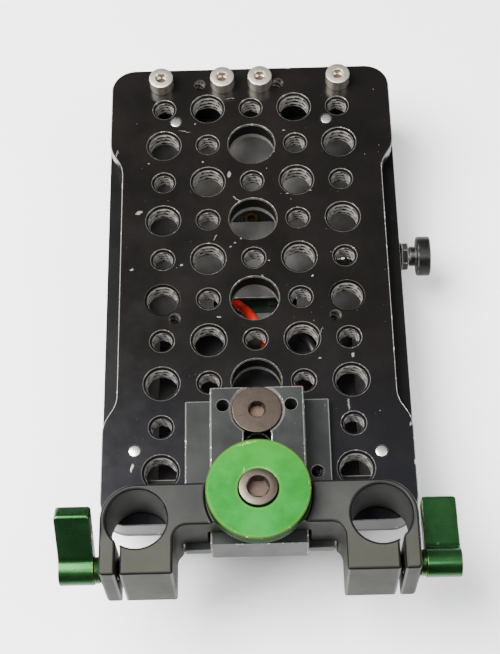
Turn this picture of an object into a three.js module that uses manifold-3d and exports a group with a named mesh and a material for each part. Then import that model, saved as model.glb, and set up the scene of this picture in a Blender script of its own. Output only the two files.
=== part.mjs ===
// Battery-plate cheese plate with a dual 15 mm rod clamp, as an assembly of separate pieces.
// Millimetres, +Z up. The object lies battery side down: the origin is under its middle, on the
// surface that it lies on. +Y runs towards the screw row, +X towards the release knob.
import * as THREE from 'three';
import { mergeVertices } from 'three/addons/utils/BufferGeometryUtils.js';
import Module from 'manifold-3d';

const wasm = await Module();
wasm.setup();

// ---- Driving dimensions -------------------------------------------------------------------
const GAP = 0.3; // clearance between pieces that are cut by each other or slide
const FIT = 0.1; // clearance of a shaft in its bore
const HOLE_FIT = 0.2; // clearance of a screw or pin in its coarser hole
const OVER = 5; // how far a cutting tool runs past the face it cuts

// Cheese plate: a quarter-inch plate with a half-inch hole grid
const PITCH = 12.7;
const COLUMNS = [-2, -1, 0, 1, 2];
const ROWS = [1, 2, 3, 4, 5, 6, 7, 8, 9, 10];
const ROW_5_Y = 15.5; // every other row is counted from this one
const PLATE = { halfWidth: 41, waist: 37.35, yMin: -62.35, yMax: 80.65, zMin: 23.65, zMax: 30 };
const PLATE_CORNER_R = 7;
const WAIST = { straight: 34.5, full: 46 }; // from the plate's middle, along Y
const HOLE_R = { small: 3.175, large: 4.7625, passage: 6.75, empty: 1.65, relief: 1.7 };
const HOLE_SIDES = { small: 10, large: 14, passage: 20, fine: 8 };
const SCREW_ROW_Y = 75;
const TOP_SCREW_X = [-26.2, -8.2, 2.9, 25.9];
const EMPTY_HOLE_X = [-15, 8.15];
const RELIEF_HOLE = { x: 22, y: -3.15 };
const DOWEL = { r: 1.5, length: 6.2, spots: [[-22, 61.75], [22, 61.75], [-32.3, -41.8], [32.2, -43.4]] };

// Screws
const SCREW_M4 = { r: 2, length: 12, headR: 3.5, headHeight: 4, headEdge: 0.4, hex: 3, hexDepth: 2.2 };
const SCREW_M3 = { r: 1.5, length: 7, headR: 2.7, headHeight: 2.8, headEdge: 0.4, hex: 2.5, hexDepth: 1.4 };
const SCREW_FLAT = { r: 1.5, length: 9, headR: 2.9, headRim: 0.3, hex: 2, hexDepth: 1.2 };
const SEAT_TOP = 2.2; // how deep a flat screw's countersink goes

// Housing under the plate: two side walls, two end caps and the battery plate
const HOUSING = { halfWidth: 41.5, yMin: -52.5, yMax: 80.65, zMin: 6, zMax: PLATE.zMin };
const HOUSING_CORNER_R = 7.5;
const WALL = 3;
const LIP = { zMin: 21.55, inner: 30.4 };
const TOP_CAP_Y = 71.6; // inner face of the top end cap
const BOTTOM_CAP_Y = -47.5; // inner face of the bottom end cap
const WALL_SCREW = { x: 35.2, y: [45, -25] };
const CAP_SCREW = { x: 13, y: -57.4 };
const CASE_SCREW = { x: 33, y: [76.2, -50] };

// Battery plate: dovetail pocket, contact opening and the catch's slot
const POCKET = { mouthHalf: 20, mouthY: 58, topHalf: 16, topY: 38, endHalf: 12, endY: -2 };
const POCKET_DEPTH = 4.6;
const POCKET_LIP = { depth: 1.6, inset: 2 };
const CONTACT_OPENING = { halfX: 22, yMin: -40, yMax: -16 };
const CONTACT_BLOCK = { halfX: 27, yMin: -46, yMax: -1, zMin: 6, zMax: 17, noseZ: 5 };
const BLADE = { x: [-15, -9, 9, 15], y: -28, width: 0.8, length: 7, zMin: 0.8 };

// Inner floor sheet and its two windows
const FLOOR = { halfX: 36, yMin: -0.5, yMax: 71, zMin: 11, zMax: 12 };
const FLOOR_STRIP = { xMin: 27.3, yMin: -46 };
const WINDOW_TOP = { halfX: 7.5, yMin: 38, yMax: 47 };
const WINDOW_LOW = { halfX: 12, yMin: 7.4, yMax: 12.5 };
const PCB = { halfX: 15, yMin: 3, yMax: 32, zMin: 6, zMax: 7.2 };
const INSERT = { x: -0.6, y: 42.3, outerR: 2, innerR: 1.2, zMax: 7, height: 1.6 };
const LEAD_R = { main: 1.35, outlet: 1.1 };

// Power outlets in the top end cap
const OUTLET = { x: [-17.2, 14.4], halfX: 7, zMin: 7.5, zMax: 16.5, front: 0.6, back: 0.4 };
const OUTLET_PIN = { spacing: 6.4, r: 1.5, boreR: 0.9, depth: 6, length: 4.8, inset: 1.6 };

// Release plunger on the right side
const LATCH = { y: 22.7, z: 15.8, shaftR: 2, bushR: 4, hexR: 3.9, neckR: 2.8, headR: 5.65, travel: 4.5 };
const KNOB_X = { bush: 41.5, bushEnd: 44.4, neck: 44.7, head: 46.8, end: 50.6, shaftEnd: 49.2 };
const KNOB_EDGE = { back: 0.4, front: 0.6 };
const SPRING_R = { inner: 2.4, outer: 3.3 };
const CATCH = { armMin: 20, armMax: 23.5, halfY: 3.7, zMin: 2, zMax: 19, toothX: 11.5, toothZ: 4.2 };

// Slider rail on the plate
const RAIL = { yMin: -71.5, yMax: -28.9, tongueHalf: 12.15, top: 40.4 };
const WING = { half: 19, yMin: -70.4, yMax: -29.1, top: 32.5 };
const RAIL_BOLT = {
  y: -35.3, headR: 6.4, headTop: 40.4, edge: 0.3, shankR: 3, coneZ: [36.6, 39.8], zMin: 24.5,
};
const BOLT_SINK = { zMin: 36.2, margin: 0.8 };
const BOLT_HEX = { across: 4, depth: 2.6 };
const SLOT = { halfX: 3.5, yMin: -69, yMax: -38.8, floorZ: 34.5 };
const T_CHANNEL = { halfX: 5.8, yMin: -70.6, yMax: -44 };
const WING_HOLE = { x: 15.27, y: -49.6 };
const TONGUE_HOLE = { x: 8.8, y: -34 };

// Rod clamp: 15 mm bores, 60 mm apart
const CLAMP = { halfX: 39, yMin: -80.65, yMax: -57.5, zMin: 25, zMax: 46.9, earR: 9 };
const ROD = { x: 30, y: -66.5, r: 7.5, sides: 36 };
const RAIL_GAP = 0.35; // between the clamp and the rail's tongue and wings
const NOTCH = { halfX: 21, yMax: -68.4, cornerR: 3.5 };
const SLIT = { xMin: 33.9, xMax: 34.95, yMax: -71.5 };
const STEP_Y = -66.8; // the jaws reach below the plate's top only past this
const LOCK = {
  y: -61.2, bossR: 9, seatR: 13.4, bossTop: 47.4, screwR: 3, headR: 4.8, headMin: 47.4, headTop: 53,
};
const LOCK_KNOB = { r: 13, zMin: 47.9, zMax: 51.9, edge: 0.8 };
const LOCK_HEX = { across: 5, depth: 3.2 };
const LOCK_HEAD_EDGE = 0.5;
const T_NUT = { halfX: 5.5, halfY: 4.5, zMax: 34.2, neckHalf: 3.2, neckTop: 36 };

// Clamp levers
const LEVER = { y: -76.55, z: 38, hubR: 3.65, xMin: 40.7, xMax: 49.4, reach: 17.7, thick: 4.5 };
const LEVER_COLLAR = { xMin: 39.3, r: 3.3 };
const LEVER_SCREW = { r: 2.5, xMin: 22, xMax: 47.6 };
const LEVER_TILT = { left: 59, right: -4 }; // degrees up from +Y

// ---- Solid helpers ------------------------------------------------------------------------
function solidOf(geometry) {
  const bare = geometry.clone();
  bare.deleteAttribute('normal');
  bare.deleteAttribute('uv');
  const merged = mergeVertices(bare, 1e-4);
  const mesh = new wasm.Mesh({
    numProp: 3,
    vertProperties: Float32Array.from(merged.attributes.position.array),
    triVerts: Uint32Array.from(merged.index.array),
  });
  return new wasm.Manifold(mesh);
}

function geometryOf(solid) {
  const mesh = solid.getMesh();
  const geometry = new THREE.BufferGeometry();
  geometry.setAttribute('position', new THREE.BufferAttribute(mesh.vertProperties, 3));
  geometry.setIndex(new THREE.BufferAttribute(mesh.triVerts, 1));
  geometry.computeVertexNormals();
  return geometry;
}

function join(...solids) {
  return solids.reduce((sum, next) => sum.add(next));
}

function cut(solid, ...tools) {
  return tools.reduce((left, tool) => left.subtract(tool), solid);
}

function box([x0, x1], [y0, y1], [z0, z1]) {
  const geometry = new THREE.BoxGeometry(x1 - x0, y1 - y0, z1 - z0);
  geometry.translate((x0 + x1) / 2, (y0 + y1) / 2, (z0 + z1) / 2);
  return solidOf(geometry);
}

// A cylinder or cone frustum along Z, from z0 to z1
function post(x, y, [z0, z1], r, sides = 24, topR = r) {
  const geometry = new THREE.CylinderGeometry(topR, r, z1 - z0, sides);
  geometry.rotateX(Math.PI / 2);
  geometry.translate(x, y, (z0 + z1) / 2);
  return solidOf(geometry);
}

// A cylinder along X, from x0 to x1
function rod([x0, x1], y, z, r, sides = 24) {
  const geometry = new THREE.CylinderGeometry(r, r, Math.abs(x1 - x0), sides);
  geometry.rotateZ(Math.PI / 2);
  geometry.translate((x0 + x1) / 2, y, z);
  return solidOf(geometry);
}

function hexSocket(x, y, [z0, z1], acrossFlats) {
  return post(x, y, [z0, z1], acrossFlats / Math.sqrt(3), 6);
}

function extrudeUp(shape, [z0, z1], curveSegments = 8) {
  const geometry = new THREE.ExtrudeGeometry(shape, {
    depth: z1 - z0,
    bevelEnabled: false,
    curveSegments,
  });
  geometry.translate(0, 0, z0);
  return geometry;
}

// A solid of revolution about Z from [radius, z] pairs that start and end on the axis
function turned(profile, sides) {
  const geometry = new THREE.LatheGeometry(profile.map(([r, z]) => new THREE.Vector2(r, z)), sides);
  geometry.rotateX(Math.PI / 2);
  return geometry;
}

function circlePath(x, y, r, sides) {
  const points = [];
  for (let i = 0; i < sides; i += 1) {
    const angle = (2 * Math.PI * i) / sides;
    points.push(new THREE.Vector2(x + r * Math.cos(angle), y + r * Math.sin(angle)));
  }
  return new THREE.Path().setFromPoints(points);
}

function polygon(points) {
  return new THREE.Shape(points.map(([x, y]) => new THREE.Vector2(x, y)));
}

// A rectangle whose corners at yMax and at yMin are rounded by their own radii
function roundedRect(halfX, yMin, yMax, topR, bottomR) {
  const shape = new THREE.Shape();
  shape.moveTo(-halfX + bottomR, yMin);
  shape.lineTo(halfX - bottomR, yMin);
  if (bottomR > 0) shape.absarc(halfX - bottomR, yMin + bottomR, bottomR, -Math.PI / 2, 0, false);
  shape.lineTo(halfX, yMax - topR);
  if (topR > 0) shape.absarc(halfX - topR, yMax - topR, topR, 0, Math.PI / 2, false);
  shape.lineTo(-halfX + topR, yMax);
  if (topR > 0) shape.absarc(-halfX + topR, yMax - topR, topR, Math.PI / 2, Math.PI, false);
  shape.lineTo(-halfX, yMin + bottomR);
  if (bottomR > 0) shape.absarc(-halfX + bottomR, yMin + bottomR, bottomR, Math.PI, 1.5 * Math.PI, false);
  return shape;
}

function tube(points, r, steps) {
  const curve = new THREE.CatmullRomCurve3(points.map((p) => new THREE.Vector3(...p)));
  const section = new THREE.Shape(circlePath(0, 0, r, 8).getPoints());
  return new THREE.ExtrudeGeometry(section, { steps, extrudePath: curve, bevelEnabled: false });
}

// ---- Materials ----------------------------------------------------------------------------
function material(color, metalness, roughness) {
  return new THREE.MeshStandardMaterial({ color, metalness, roughness });
}
const blackAnodised = material(0x24221f, 0.6, 0.4);
const greyAnodised = material(0x6c6d69, 0.7, 0.45);
const floorGrey = material(0x8b8a87, 0.8, 0.4);
const blackPlastic = material(0x17171a, 0, 0.55);
const stainless = material(0xbfb9ae, 1, 0.28);
const warmSteel = material(0x9d8f84, 0.9, 0.4);
const brightGreen = material(0x68b052, 0.6, 0.4);
const deepGreen = material(0x1e4a25, 0.6, 0.35);
const brass = material(0xb08a4a, 1, 0.35);
const boardGreen = material(0x14301c, 0, 0.5);
const redRubber = material(0xc23a28, 0, 0.45);
const blackRubber = material(0x111111, 0, 0.5);

const assembly = new THREE.Group();

function addPiece(name, shape, finish, position = [0, 0, 0], parent = assembly) {
  const geometry = shape instanceof THREE.BufferGeometry ? shape : geometryOf(shape);
  const mesh = new THREE.Mesh(geometry, finish);
  mesh.name = name;
  mesh.position.set(...position);
  parent.add(mesh);
  return mesh;
}

// ---- Cheese plate -------------------------------------------------------------------------
function rowY(row) {
  return ROW_5_Y - PITCH * (row - 5);
}

// Odd rows alternate small and large threads; even rows put the wide passage in the middle.
function holeKind(column, row) {
  const oddColumn = Math.abs(column) === 1;
  if (row % 2 === 1) return oddColumn ? 'large' : 'small';
  if (column === 0) return 'passage';
  return oddColumn ? 'small' : 'large';
}

// The rail's foot leaves no passage under it in the last row.
function hasHole(column, row) {
  return !(column === 0 && row === 10);
}

function plateOutline() {
  const middle = (PLATE.yMin + PLATE.yMax) / 2;
  const bend = (WAIST.straight + WAIST.full) / 2;
  const [w, n, r] = [PLATE.halfWidth, PLATE.waist, PLATE_CORNER_R];
  const shape = new THREE.Shape();
  shape.moveTo(-w + r, PLATE.yMin);
  shape.lineTo(w - r, PLATE.yMin);
  shape.absarc(w - r, PLATE.yMin + r, r, -Math.PI / 2, 0, false);
  shape.lineTo(w, middle - WAIST.full);
  shape.bezierCurveTo(w, middle - bend, n, middle - bend, n, middle - WAIST.straight);
  shape.lineTo(n, middle + WAIST.straight);
  shape.bezierCurveTo(n, middle + bend, w, middle + bend, w, middle + WAIST.full);
  shape.lineTo(w, PLATE.yMax - r);
  shape.absarc(w - r, PLATE.yMax - r, r, 0, Math.PI / 2, false);
  shape.lineTo(-w + r, PLATE.yMax);
  shape.absarc(-w + r, PLATE.yMax - r, r, Math.PI / 2, Math.PI, false);
  shape.lineTo(-w, middle + WAIST.full);
  shape.bezierCurveTo(-w, middle + bend, -n, middle + bend, -n, middle + WAIST.straight);
  shape.lineTo(-n, middle - WAIST.straight);
  shape.bezierCurveTo(-n, middle - bend, -w, middle - bend, -w, middle - WAIST.full);
  shape.lineTo(-w, PLATE.yMin + r);
  shape.absarc(-w + r, PLATE.yMin + r, r, Math.PI, 1.5 * Math.PI, false);
  return shape;
}

function cheesePlate() {
  const shape = plateOutline();
  const drill = (x, y, r, sides) => shape.holes.push(circlePath(x, y, r, sides));
  for (const row of ROWS) {
    for (const column of COLUMNS) {
      const kind = holeKind(column, row);
      if (hasHole(column, row)) drill(column * PITCH, rowY(row), HOLE_R[kind], HOLE_SIDES[kind]);
    }
  }
  TOP_SCREW_X.forEach((x) => drill(x, SCREW_ROW_Y, SCREW_M4.r + HOLE_FIT, HOLE_SIDES.fine));
  EMPTY_HOLE_X.forEach((x) => drill(x, SCREW_ROW_Y, HOLE_R.empty, HOLE_SIDES.fine));
  DOWEL.spots.forEach(([x, y]) => drill(x, y, DOWEL.r + HOLE_FIT, HOLE_SIDES.fine));
  for (const side of [-1, 1]) {
    drill(side * RELIEF_HOLE.x, RELIEF_HOLE.y, HOLE_R.relief, HOLE_SIDES.fine);
  }
  const plate = solidOf(extrudeUp(shape, [PLATE.zMin, PLATE.zMax], 5));
  return cut(plate, ...[-1, 1].flatMap((side) => blindHoles(side)));
}

// Threaded from below for the screws that hold the walls and the bottom cap
function blindHoles(side) {
  const spots = [[CAP_SCREW.x, CAP_SCREW.y], ...WALL_SCREW.y.map((y) => [WALL_SCREW.x, y])];
  const z = [PLATE.zMin - OVER, LIP.zMin + SCREW_M3.length + GAP];
  return spots.map(([x, y]) => post(side * x, y, z, SCREW_M3.r + HOLE_FIT, HOLE_SIDES.fine));
}

// ---- Screws and pins ----------------------------------------------------------------------
// Socket head screw along Z, its head's underside at z = 0 and its head above
function capScrew({ r, length, headR, headHeight, headEdge, hex, hexDepth }, sides = 16) {
  const body = turned([
    [0, -length], [r, -length], [r, 0], [headR, 0],
    [headR, headHeight - headEdge], [headR - headEdge, headHeight], [0, headHeight],
  ], sides);
  return cut(solidOf(body), hexSocket(0, 0, [headHeight - hexDepth, headHeight + OVER], hex));
}

// Countersunk screw along Z, its head's face at z = 0 and its shank above
function flatScrew({ r, length, headR, headRim, hex, hexDepth }) {
  const coneTop = headR - r + headRim;
  const body = turned([[0, 0], [headR, 0], [headR, headRim], [r, coneTop], [r, length], [0, length]], 12);
  return cut(solidOf(body), hexSocket(0, 0, [-OVER, hexDepth], hex));
}

// ---- Housing ------------------------------------------------------------------------------
function sideWall(side) {
  const span = (a, b) => [Math.min(side * a, side * b), Math.max(side * a, side * b)];
  const y = [BOTTOM_CAP_Y, TOP_CAP_Y];
  const web = box(span(HOUSING.halfWidth - WALL, HOUSING.halfWidth), y, [HOUSING.zMin, HOUSING.zMax]);
  const lip = box(span(LIP.inner, HOUSING.halfWidth), y, [LIP.zMin, HOUSING.zMax]);
  const screwHoles = WALL_SCREW.y.map((h) =>
    post(side * WALL_SCREW.x, h, [LIP.zMin - 1, HOUSING.zMax + 1], SCREW_M3.r + HOLE_FIT, HOLE_SIDES.fine));
  const wall = cut(join(web, lip), ...screwHoles);
  if (side < 0) return wall;
  const bushingX = [HOUSING.halfWidth - OVER, HOUSING.halfWidth + OVER];
  return cut(wall, rod(bushingX, LATCH.y, LATCH.z, LATCH.bushR + GAP, 16));
}

function topEndCap() {
  const z = [HOUSING.zMin, HOUSING.zMax];
  const outline = roundedRect(HOUSING.halfWidth, TOP_CAP_Y, HOUSING.yMax, HOUSING_CORNER_R, 0);
  const body = solidOf(extrudeUp(outline, z, 5));
  const threadZ = [PLATE.zMax - SCREW_M4.length - 1, z[1] + OVER];
  const threads = TOP_SCREW_X.map((x) =>
    post(x, SCREW_ROW_Y, threadZ, SCREW_M4.r + HOLE_FIT, HOLE_SIDES.fine));
  const pockets = OUTLET.x.map((x) =>
    box([x - OUTLET.halfX - GAP, x + OUTLET.halfX + GAP], [TOP_CAP_Y - OVER, HOUSING.yMax + OVER],
      [OUTLET.zMin - GAP, OUTLET.zMax + GAP]));
  return cut(body, ...threads, ...pockets, ...caseScrewHoles(CASE_SCREW.y[0]));
}

function bottomEndCap() {
  const lipOutline = roundedRect(HOUSING.halfWidth, PLATE.yMin, HOUSING.yMin + 1, 0, HOUSING_CORNER_R);
  const lip = solidOf(extrudeUp(lipOutline, [LIP.zMin, HOUSING.zMax], 5));
  const web = box([-HOUSING.halfWidth, HOUSING.halfWidth], [HOUSING.yMin, BOTTOM_CAP_Y],
    [HOUSING.zMin, HOUSING.zMax]);
  const holeZ = [LIP.zMin - 1, HOUSING.zMax + 1];
  const holes = [-1, 1].map((side) =>
    post(side * CAP_SCREW.x, CAP_SCREW.y, holeZ, SCREW_M3.r + HOLE_FIT, HOLE_SIDES.fine));
  return cut(join(lip, web), ...holes, ...caseScrewHoles(CASE_SCREW.y[1]));
}

function caseScrewHoles(y) {
  return [-1, 1].map((side) =>
    post(side * CASE_SCREW.x, y, [0, SCREW_FLAT.length + 1], SCREW_FLAT.r + HOLE_FIT, HOLE_SIDES.fine));
}

// ---- Battery plate ------------------------------------------------------------------------
function pocketOutline(inset) {
  const p = POCKET;
  const half = [
    [p.mouthHalf, p.mouthY],
    [p.mouthHalf, p.topY + POCKET_LIP.inset],
    [p.topHalf - inset, p.topY],
    [p.endHalf - inset, p.endY + inset],
  ];
  const mirrored = half.map(([x, y]) => [-x, y]).reverse();
  return polygon([...half, ...mirrored]);
}

function batteryPlate() {
  const outline = roundedRect(HOUSING.halfWidth, HOUSING.yMin, HOUSING.yMax, HOUSING_CORNER_R, 2);
  const body = solidOf(extrudeUp(outline, [0, HOUSING.zMin], 5));
  const pocket = solidOf(extrudeUp(pocketOutline(0), [POCKET_LIP.depth, POCKET_DEPTH]));
  const mouth = solidOf(extrudeUp(pocketOutline(POCKET_LIP.inset), [-OVER, POCKET_LIP.depth + 0.01]));
  const c = CONTACT_OPENING;
  const contacts = box([-c.halfX, c.halfX], [c.yMin, c.yMax], [-OVER, HOUSING.zMin + OVER]);
  const catchSlot = box([CATCH.toothX - GAP, CATCH.armMax + LATCH.travel + GAP],
    [LATCH.y - CATCH.halfY - GAP, LATCH.y + CATCH.halfY + GAP], [CATCH.zMin - GAP, HOUSING.zMin + OVER]);
  const seatZ = [INSERT.zMax - INSERT.height, HOUSING.zMin + OVER];
  const insertSeat = post(INSERT.x, INSERT.y, seatZ, INSERT.outerR + FIT, 12);
  const heads = CASE_SCREW.y.flatMap((y) => [-1, 1].flatMap((side) => [
    post(side * CASE_SCREW.x, y, [-1, SCREW_FLAT.headRim + FIT], SCREW_FLAT.headR + FIT, 12),
    post(side * CASE_SCREW.x, y, [SCREW_FLAT.headRim, SEAT_TOP], SCREW_FLAT.headR + GAP, 12,
      SCREW_FLAT.r + FIT),
    post(side * CASE_SCREW.x, y, [1, HOUSING.zMin + OVER], SCREW_FLAT.r + GAP, HOLE_SIDES.fine),
  ]));
  return cut(body, pocket, mouth, contacts, catchSlot, insertSeat, ...heads);
}

function insertRing() {
  const { innerR, outerR, height } = INSERT;
  return turned([[innerR, 0], [outerR, 0], [outerR, height], [innerR, height], [innerR, 0]], 16);
}

function contactBlock() {
  const { halfX, yMin, yMax, zMin, zMax, noseZ } = CONTACT_BLOCK;
  const body = box([-halfX, halfX], [yMin, yMax], [zMin, zMax]);
  const c = CONTACT_OPENING;
  const nose = box([-c.halfX + GAP, c.halfX - GAP], [c.yMin + GAP, c.yMax - GAP], [noseZ, zMin + 1]);
  const bladeSlots = BLADE.x.map((x) => bladeSolid(x, GAP, [noseZ - OVER, noseZ + 4.5]));
  const leadHoles = [RED_LEAD, BLACK_LEAD].map((route) => {
    const [x, y] = route[route.length - 1];
    return post(x, y, [zMax - 6, zMax + OVER], LEAD_R.main + 1.5, 12);
  });
  return cut(join(body, nose), ...bladeSlots, ...leadHoles);
}

function bladeSolid(x, margin, z) {
  const halfWidth = BLADE.width / 2 + margin;
  const halfLength = BLADE.length / 2 + margin;
  return box([x - halfWidth, x + halfWidth], [BLADE.y - halfLength, BLADE.y + halfLength], z);
}

function innerFloor() {
  const { halfX, yMin, yMax, zMin, zMax } = FLOOR;
  const through = [zMin - 1, zMax + 1];
  const window = ({ halfX: hx, yMin: y0, yMax: y1 }) => box([-hx, hx], [y0, y1], through);
  const catchSlot = box([CATCH.armMin - GAP, CATCH.armMax + LATCH.travel + GAP],
    [LATCH.y - CATCH.halfY - GAP, LATCH.y + CATCH.halfY + GAP], through);
  const sheet = box([-halfX, halfX], [yMin, yMax], [zMin, zMax]);
  const strips = [-1, 1].map((side) => {
    const x = [side * FLOOR_STRIP.xMin, side * halfX].sort((a, b) => a - b);
    return box(x, [FLOOR_STRIP.yMin, yMin + OVER], [zMin, zMax]);
  });
  return cut(join(sheet, ...strips), window(WINDOW_TOP), window(WINDOW_LOW), catchSlot);
}

// ---- Wiring -------------------------------------------------------------------------------
// Both main leads rise from the board through the low window and end in the contact block.
const RED_LEAD = [
  [-8.2, 24, 8.75], [-7.4, 18, 8.75], [-6, 13.4, 8.9], [-4.4, 10.2, 11.2], [-2.9, 7.4, 14.4],
  [-0.9, 3, 17.6], [1.7, -3, 19.3], [3.5, -9, 19.7], [8.5, -17, 19.9], [12.5, -22.5, 19.7],
  [13.9, -25.9, 18.6], [14, -27.4, 16.4], [14, -27.5, 12.8],
];
const BLACK_LEAD = [
  [9.6, 24, 8.75], [9.2, 18, 8.75], [8.8, 13.4, 8.9], [8.4, 10.2, 11.2], [8.8, 7.4, 14.4], [10.4, 3, 17.6],
  [13.4, -3, 19.3], [17.4, -12.5, 19.9], [20.2, -20.6, 20], [20.9, -25.6, 19], [21, -27.4, 16.6],
  [21, -27.5, 12.8],
];
// The outlet leads run under the floor from the board to the backs of the outlets.
const OUTLET_LEAD_RED = [
  [-9.5, 28, 8.6], [-11, 38, 8.6], [-13.5, 50, 8.6], [-16, 60, 8.7], [-17, 66.8, 8.9], [-17.2, 70.6, 9.4],
];
const OUTLET_LEAD_BLACK = [
  [9.5, 28, 8.6], [10.5, 38, 8.6], [12, 50, 8.6], [13.6, 60, 8.7], [14.2, 66.8, 8.9], [14.4, 70.6, 9.4],
];

// ---- Power outlets ------------------------------------------------------------------------
function outletBody() {
  const depth = [TOP_CAP_Y - OUTLET.back, HOUSING.yMax - OUTLET.front];
  const z = [OUTLET.zMin, OUTLET.zMax];
  const body = box([-OUTLET.halfX, OUTLET.halfX], depth, z);
  const socketY = [depth[1] - OUTLET_PIN.depth, depth[1] + OVER];
  const sockets = [-1, 1].map((side) => outletBore(side, OUTLET_PIN.r + FIT, socketY));
  return cut(body, ...sockets);
}

function outletBore(side, r, [y0, y1], sides = 12) {
  const geometry = new THREE.CylinderGeometry(r, r, y1 - y0, sides);
  geometry.translate((side * OUTLET_PIN.spacing) / 2, (y0 + y1) / 2, (OUTLET.zMin + OUTLET.zMax) / 2);
  return solidOf(geometry);
}

function outletContact(side) {
  const { r, boreR, length, inset } = OUTLET_PIN;
  const y1 = HOUSING.yMax - inset;
  return cut(outletBore(side, r, [y1 - length, y1]), outletBore(side, boreR, [y1 - length + 0.8, y1 + 1], 8));
}

// ---- Release plunger ----------------------------------------------------------------------
function latchBushing() {
  const wallInner = HOUSING.halfWidth - WALL;
  const barrel = rod([wallInner, KNOB_X.bush + 1], LATCH.y, LATCH.z, LATCH.bushR, 16);
  const hexagon = rod([KNOB_X.bush, KNOB_X.bushEnd], LATCH.y, LATCH.z, LATCH.hexR, 6);
  const bore = rod([wallInner - 1, KNOB_X.bushEnd + 1], LATCH.y, LATCH.z, LATCH.shaftR + FIT, 16);
  return cut(join(barrel, hexagon), bore);
}

function latchShaft() {
  return rod([CATCH.armMin + 0.8, KNOB_X.shaftEnd], LATCH.y, LATCH.z, LATCH.shaftR, 16);
}

function latchKnob() {
  const neck = rod([KNOB_X.neck, KNOB_X.head + 1], LATCH.y, LATCH.z, LATCH.neckR, 20);
  const length = KNOB_X.end - KNOB_X.head;
  const profile = [
    [0, 0], [LATCH.headR - KNOB_EDGE.back, 0], [LATCH.headR, KNOB_EDGE.back],
    [LATCH.headR, length - KNOB_EDGE.front], [LATCH.headR - KNOB_EDGE.front, length], [0, length],
  ];
  const head = turned(profile, 24);
  head.rotateY(Math.PI / 2);
  head.translate(KNOB_X.head, LATCH.y, LATCH.z);
  const bore = rod([KNOB_X.neck - 1, KNOB_X.shaftEnd + 2 * FIT], LATCH.y, LATCH.z, LATCH.shaftR + FIT, 16);
  return cut(join(neck, solidOf(head)), bore);
}

// The catch hangs from the shaft and reaches through the floor into the dovetail pocket.
function latchCatch() {
  const y = [LATCH.y - CATCH.halfY, LATCH.y + CATCH.halfY];
  const arm = box([CATCH.armMin, CATCH.armMax], y, [CATCH.zMin, CATCH.zMax]);
  const tooth = box([CATCH.toothX, CATCH.armMin + 1], y, [CATCH.zMin, CATCH.toothZ]);
  const seat = rod([CATCH.armMin + 0.5, CATCH.armMax + 1], LATCH.y, LATCH.z, LATCH.shaftR + FIT, 16);
  return cut(join(arm, tooth), seat);
}

function latchSpring() {
  const length = HOUSING.halfWidth - WALL - CATCH.armMax - 2 * FIT;
  const { inner, outer } = SPRING_R;
  const ring = [[inner, 0], [outer, 0], [outer, length], [inner, length], [inner, 0]];
  const sleeve = turned(ring, 16);
  sleeve.rotateY(Math.PI / 2);
  sleeve.translate(CATCH.armMax + FIT, LATCH.y, LATCH.z);
  return sleeve;
}

// ---- Slider rail --------------------------------------------------------------------------
function sliderRail() {
  const wings = box([-WING.half, WING.half], [WING.yMin, WING.yMax], [PLATE.zMax, WING.top]);
  const tongue = box([-RAIL.tongueHalf, RAIL.tongueHalf], [RAIL.yMin, RAIL.yMax], [PLATE.zMax, RAIL.top]);
  const slot = box([-SLOT.halfX, SLOT.halfX], [SLOT.yMin, SLOT.yMax], [SLOT.floorZ - 1, RAIL.top + OVER]);
  const channel = box([-T_CHANNEL.halfX, T_CHANNEL.halfX], [T_CHANNEL.yMin, T_CHANNEL.yMax],
    [PLATE.zMax - OVER, SLOT.floorZ]);
  const { y, headR, shankR } = RAIL_BOLT;
  const sink = post(0, y, [BOLT_SINK.zMin, RAIL.top + 0.1], shankR + GAP, 24, headR + BOLT_SINK.margin);
  const bore = post(0, y, [PLATE.zMax - OVER, RAIL.top], shankR + GAP, 16);
  const small = [[WING_HOLE.x, WING_HOLE.y], [TONGUE_HOLE.x, TONGUE_HOLE.y], [-TONGUE_HOLE.x, TONGUE_HOLE.y]]
    .map(([hx, hy]) => post(hx, hy, [PLATE.zMax - 1, RAIL.top + 1], HOLE_R.empty, HOLE_SIDES.fine));
  return cut(join(wings, tongue), slot, channel, sink, bore, ...small);
}

function railBolt() {
  const { y, headR, headTop, edge, shankR, coneZ, zMin } = RAIL_BOLT;
  const profile = [
    [0, zMin], [shankR, zMin], [shankR, coneZ[0]], [headR, coneZ[1]],
    [headR, headTop - edge], [headR - edge, headTop], [0, headTop],
  ];
  const body = turned(profile, 24);
  body.translate(0, y, 0);
  return cut(solidOf(body), hexSocket(0, y, [headTop - BOLT_HEX.depth, headTop + OVER], BOLT_HEX.across));
}

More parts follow.
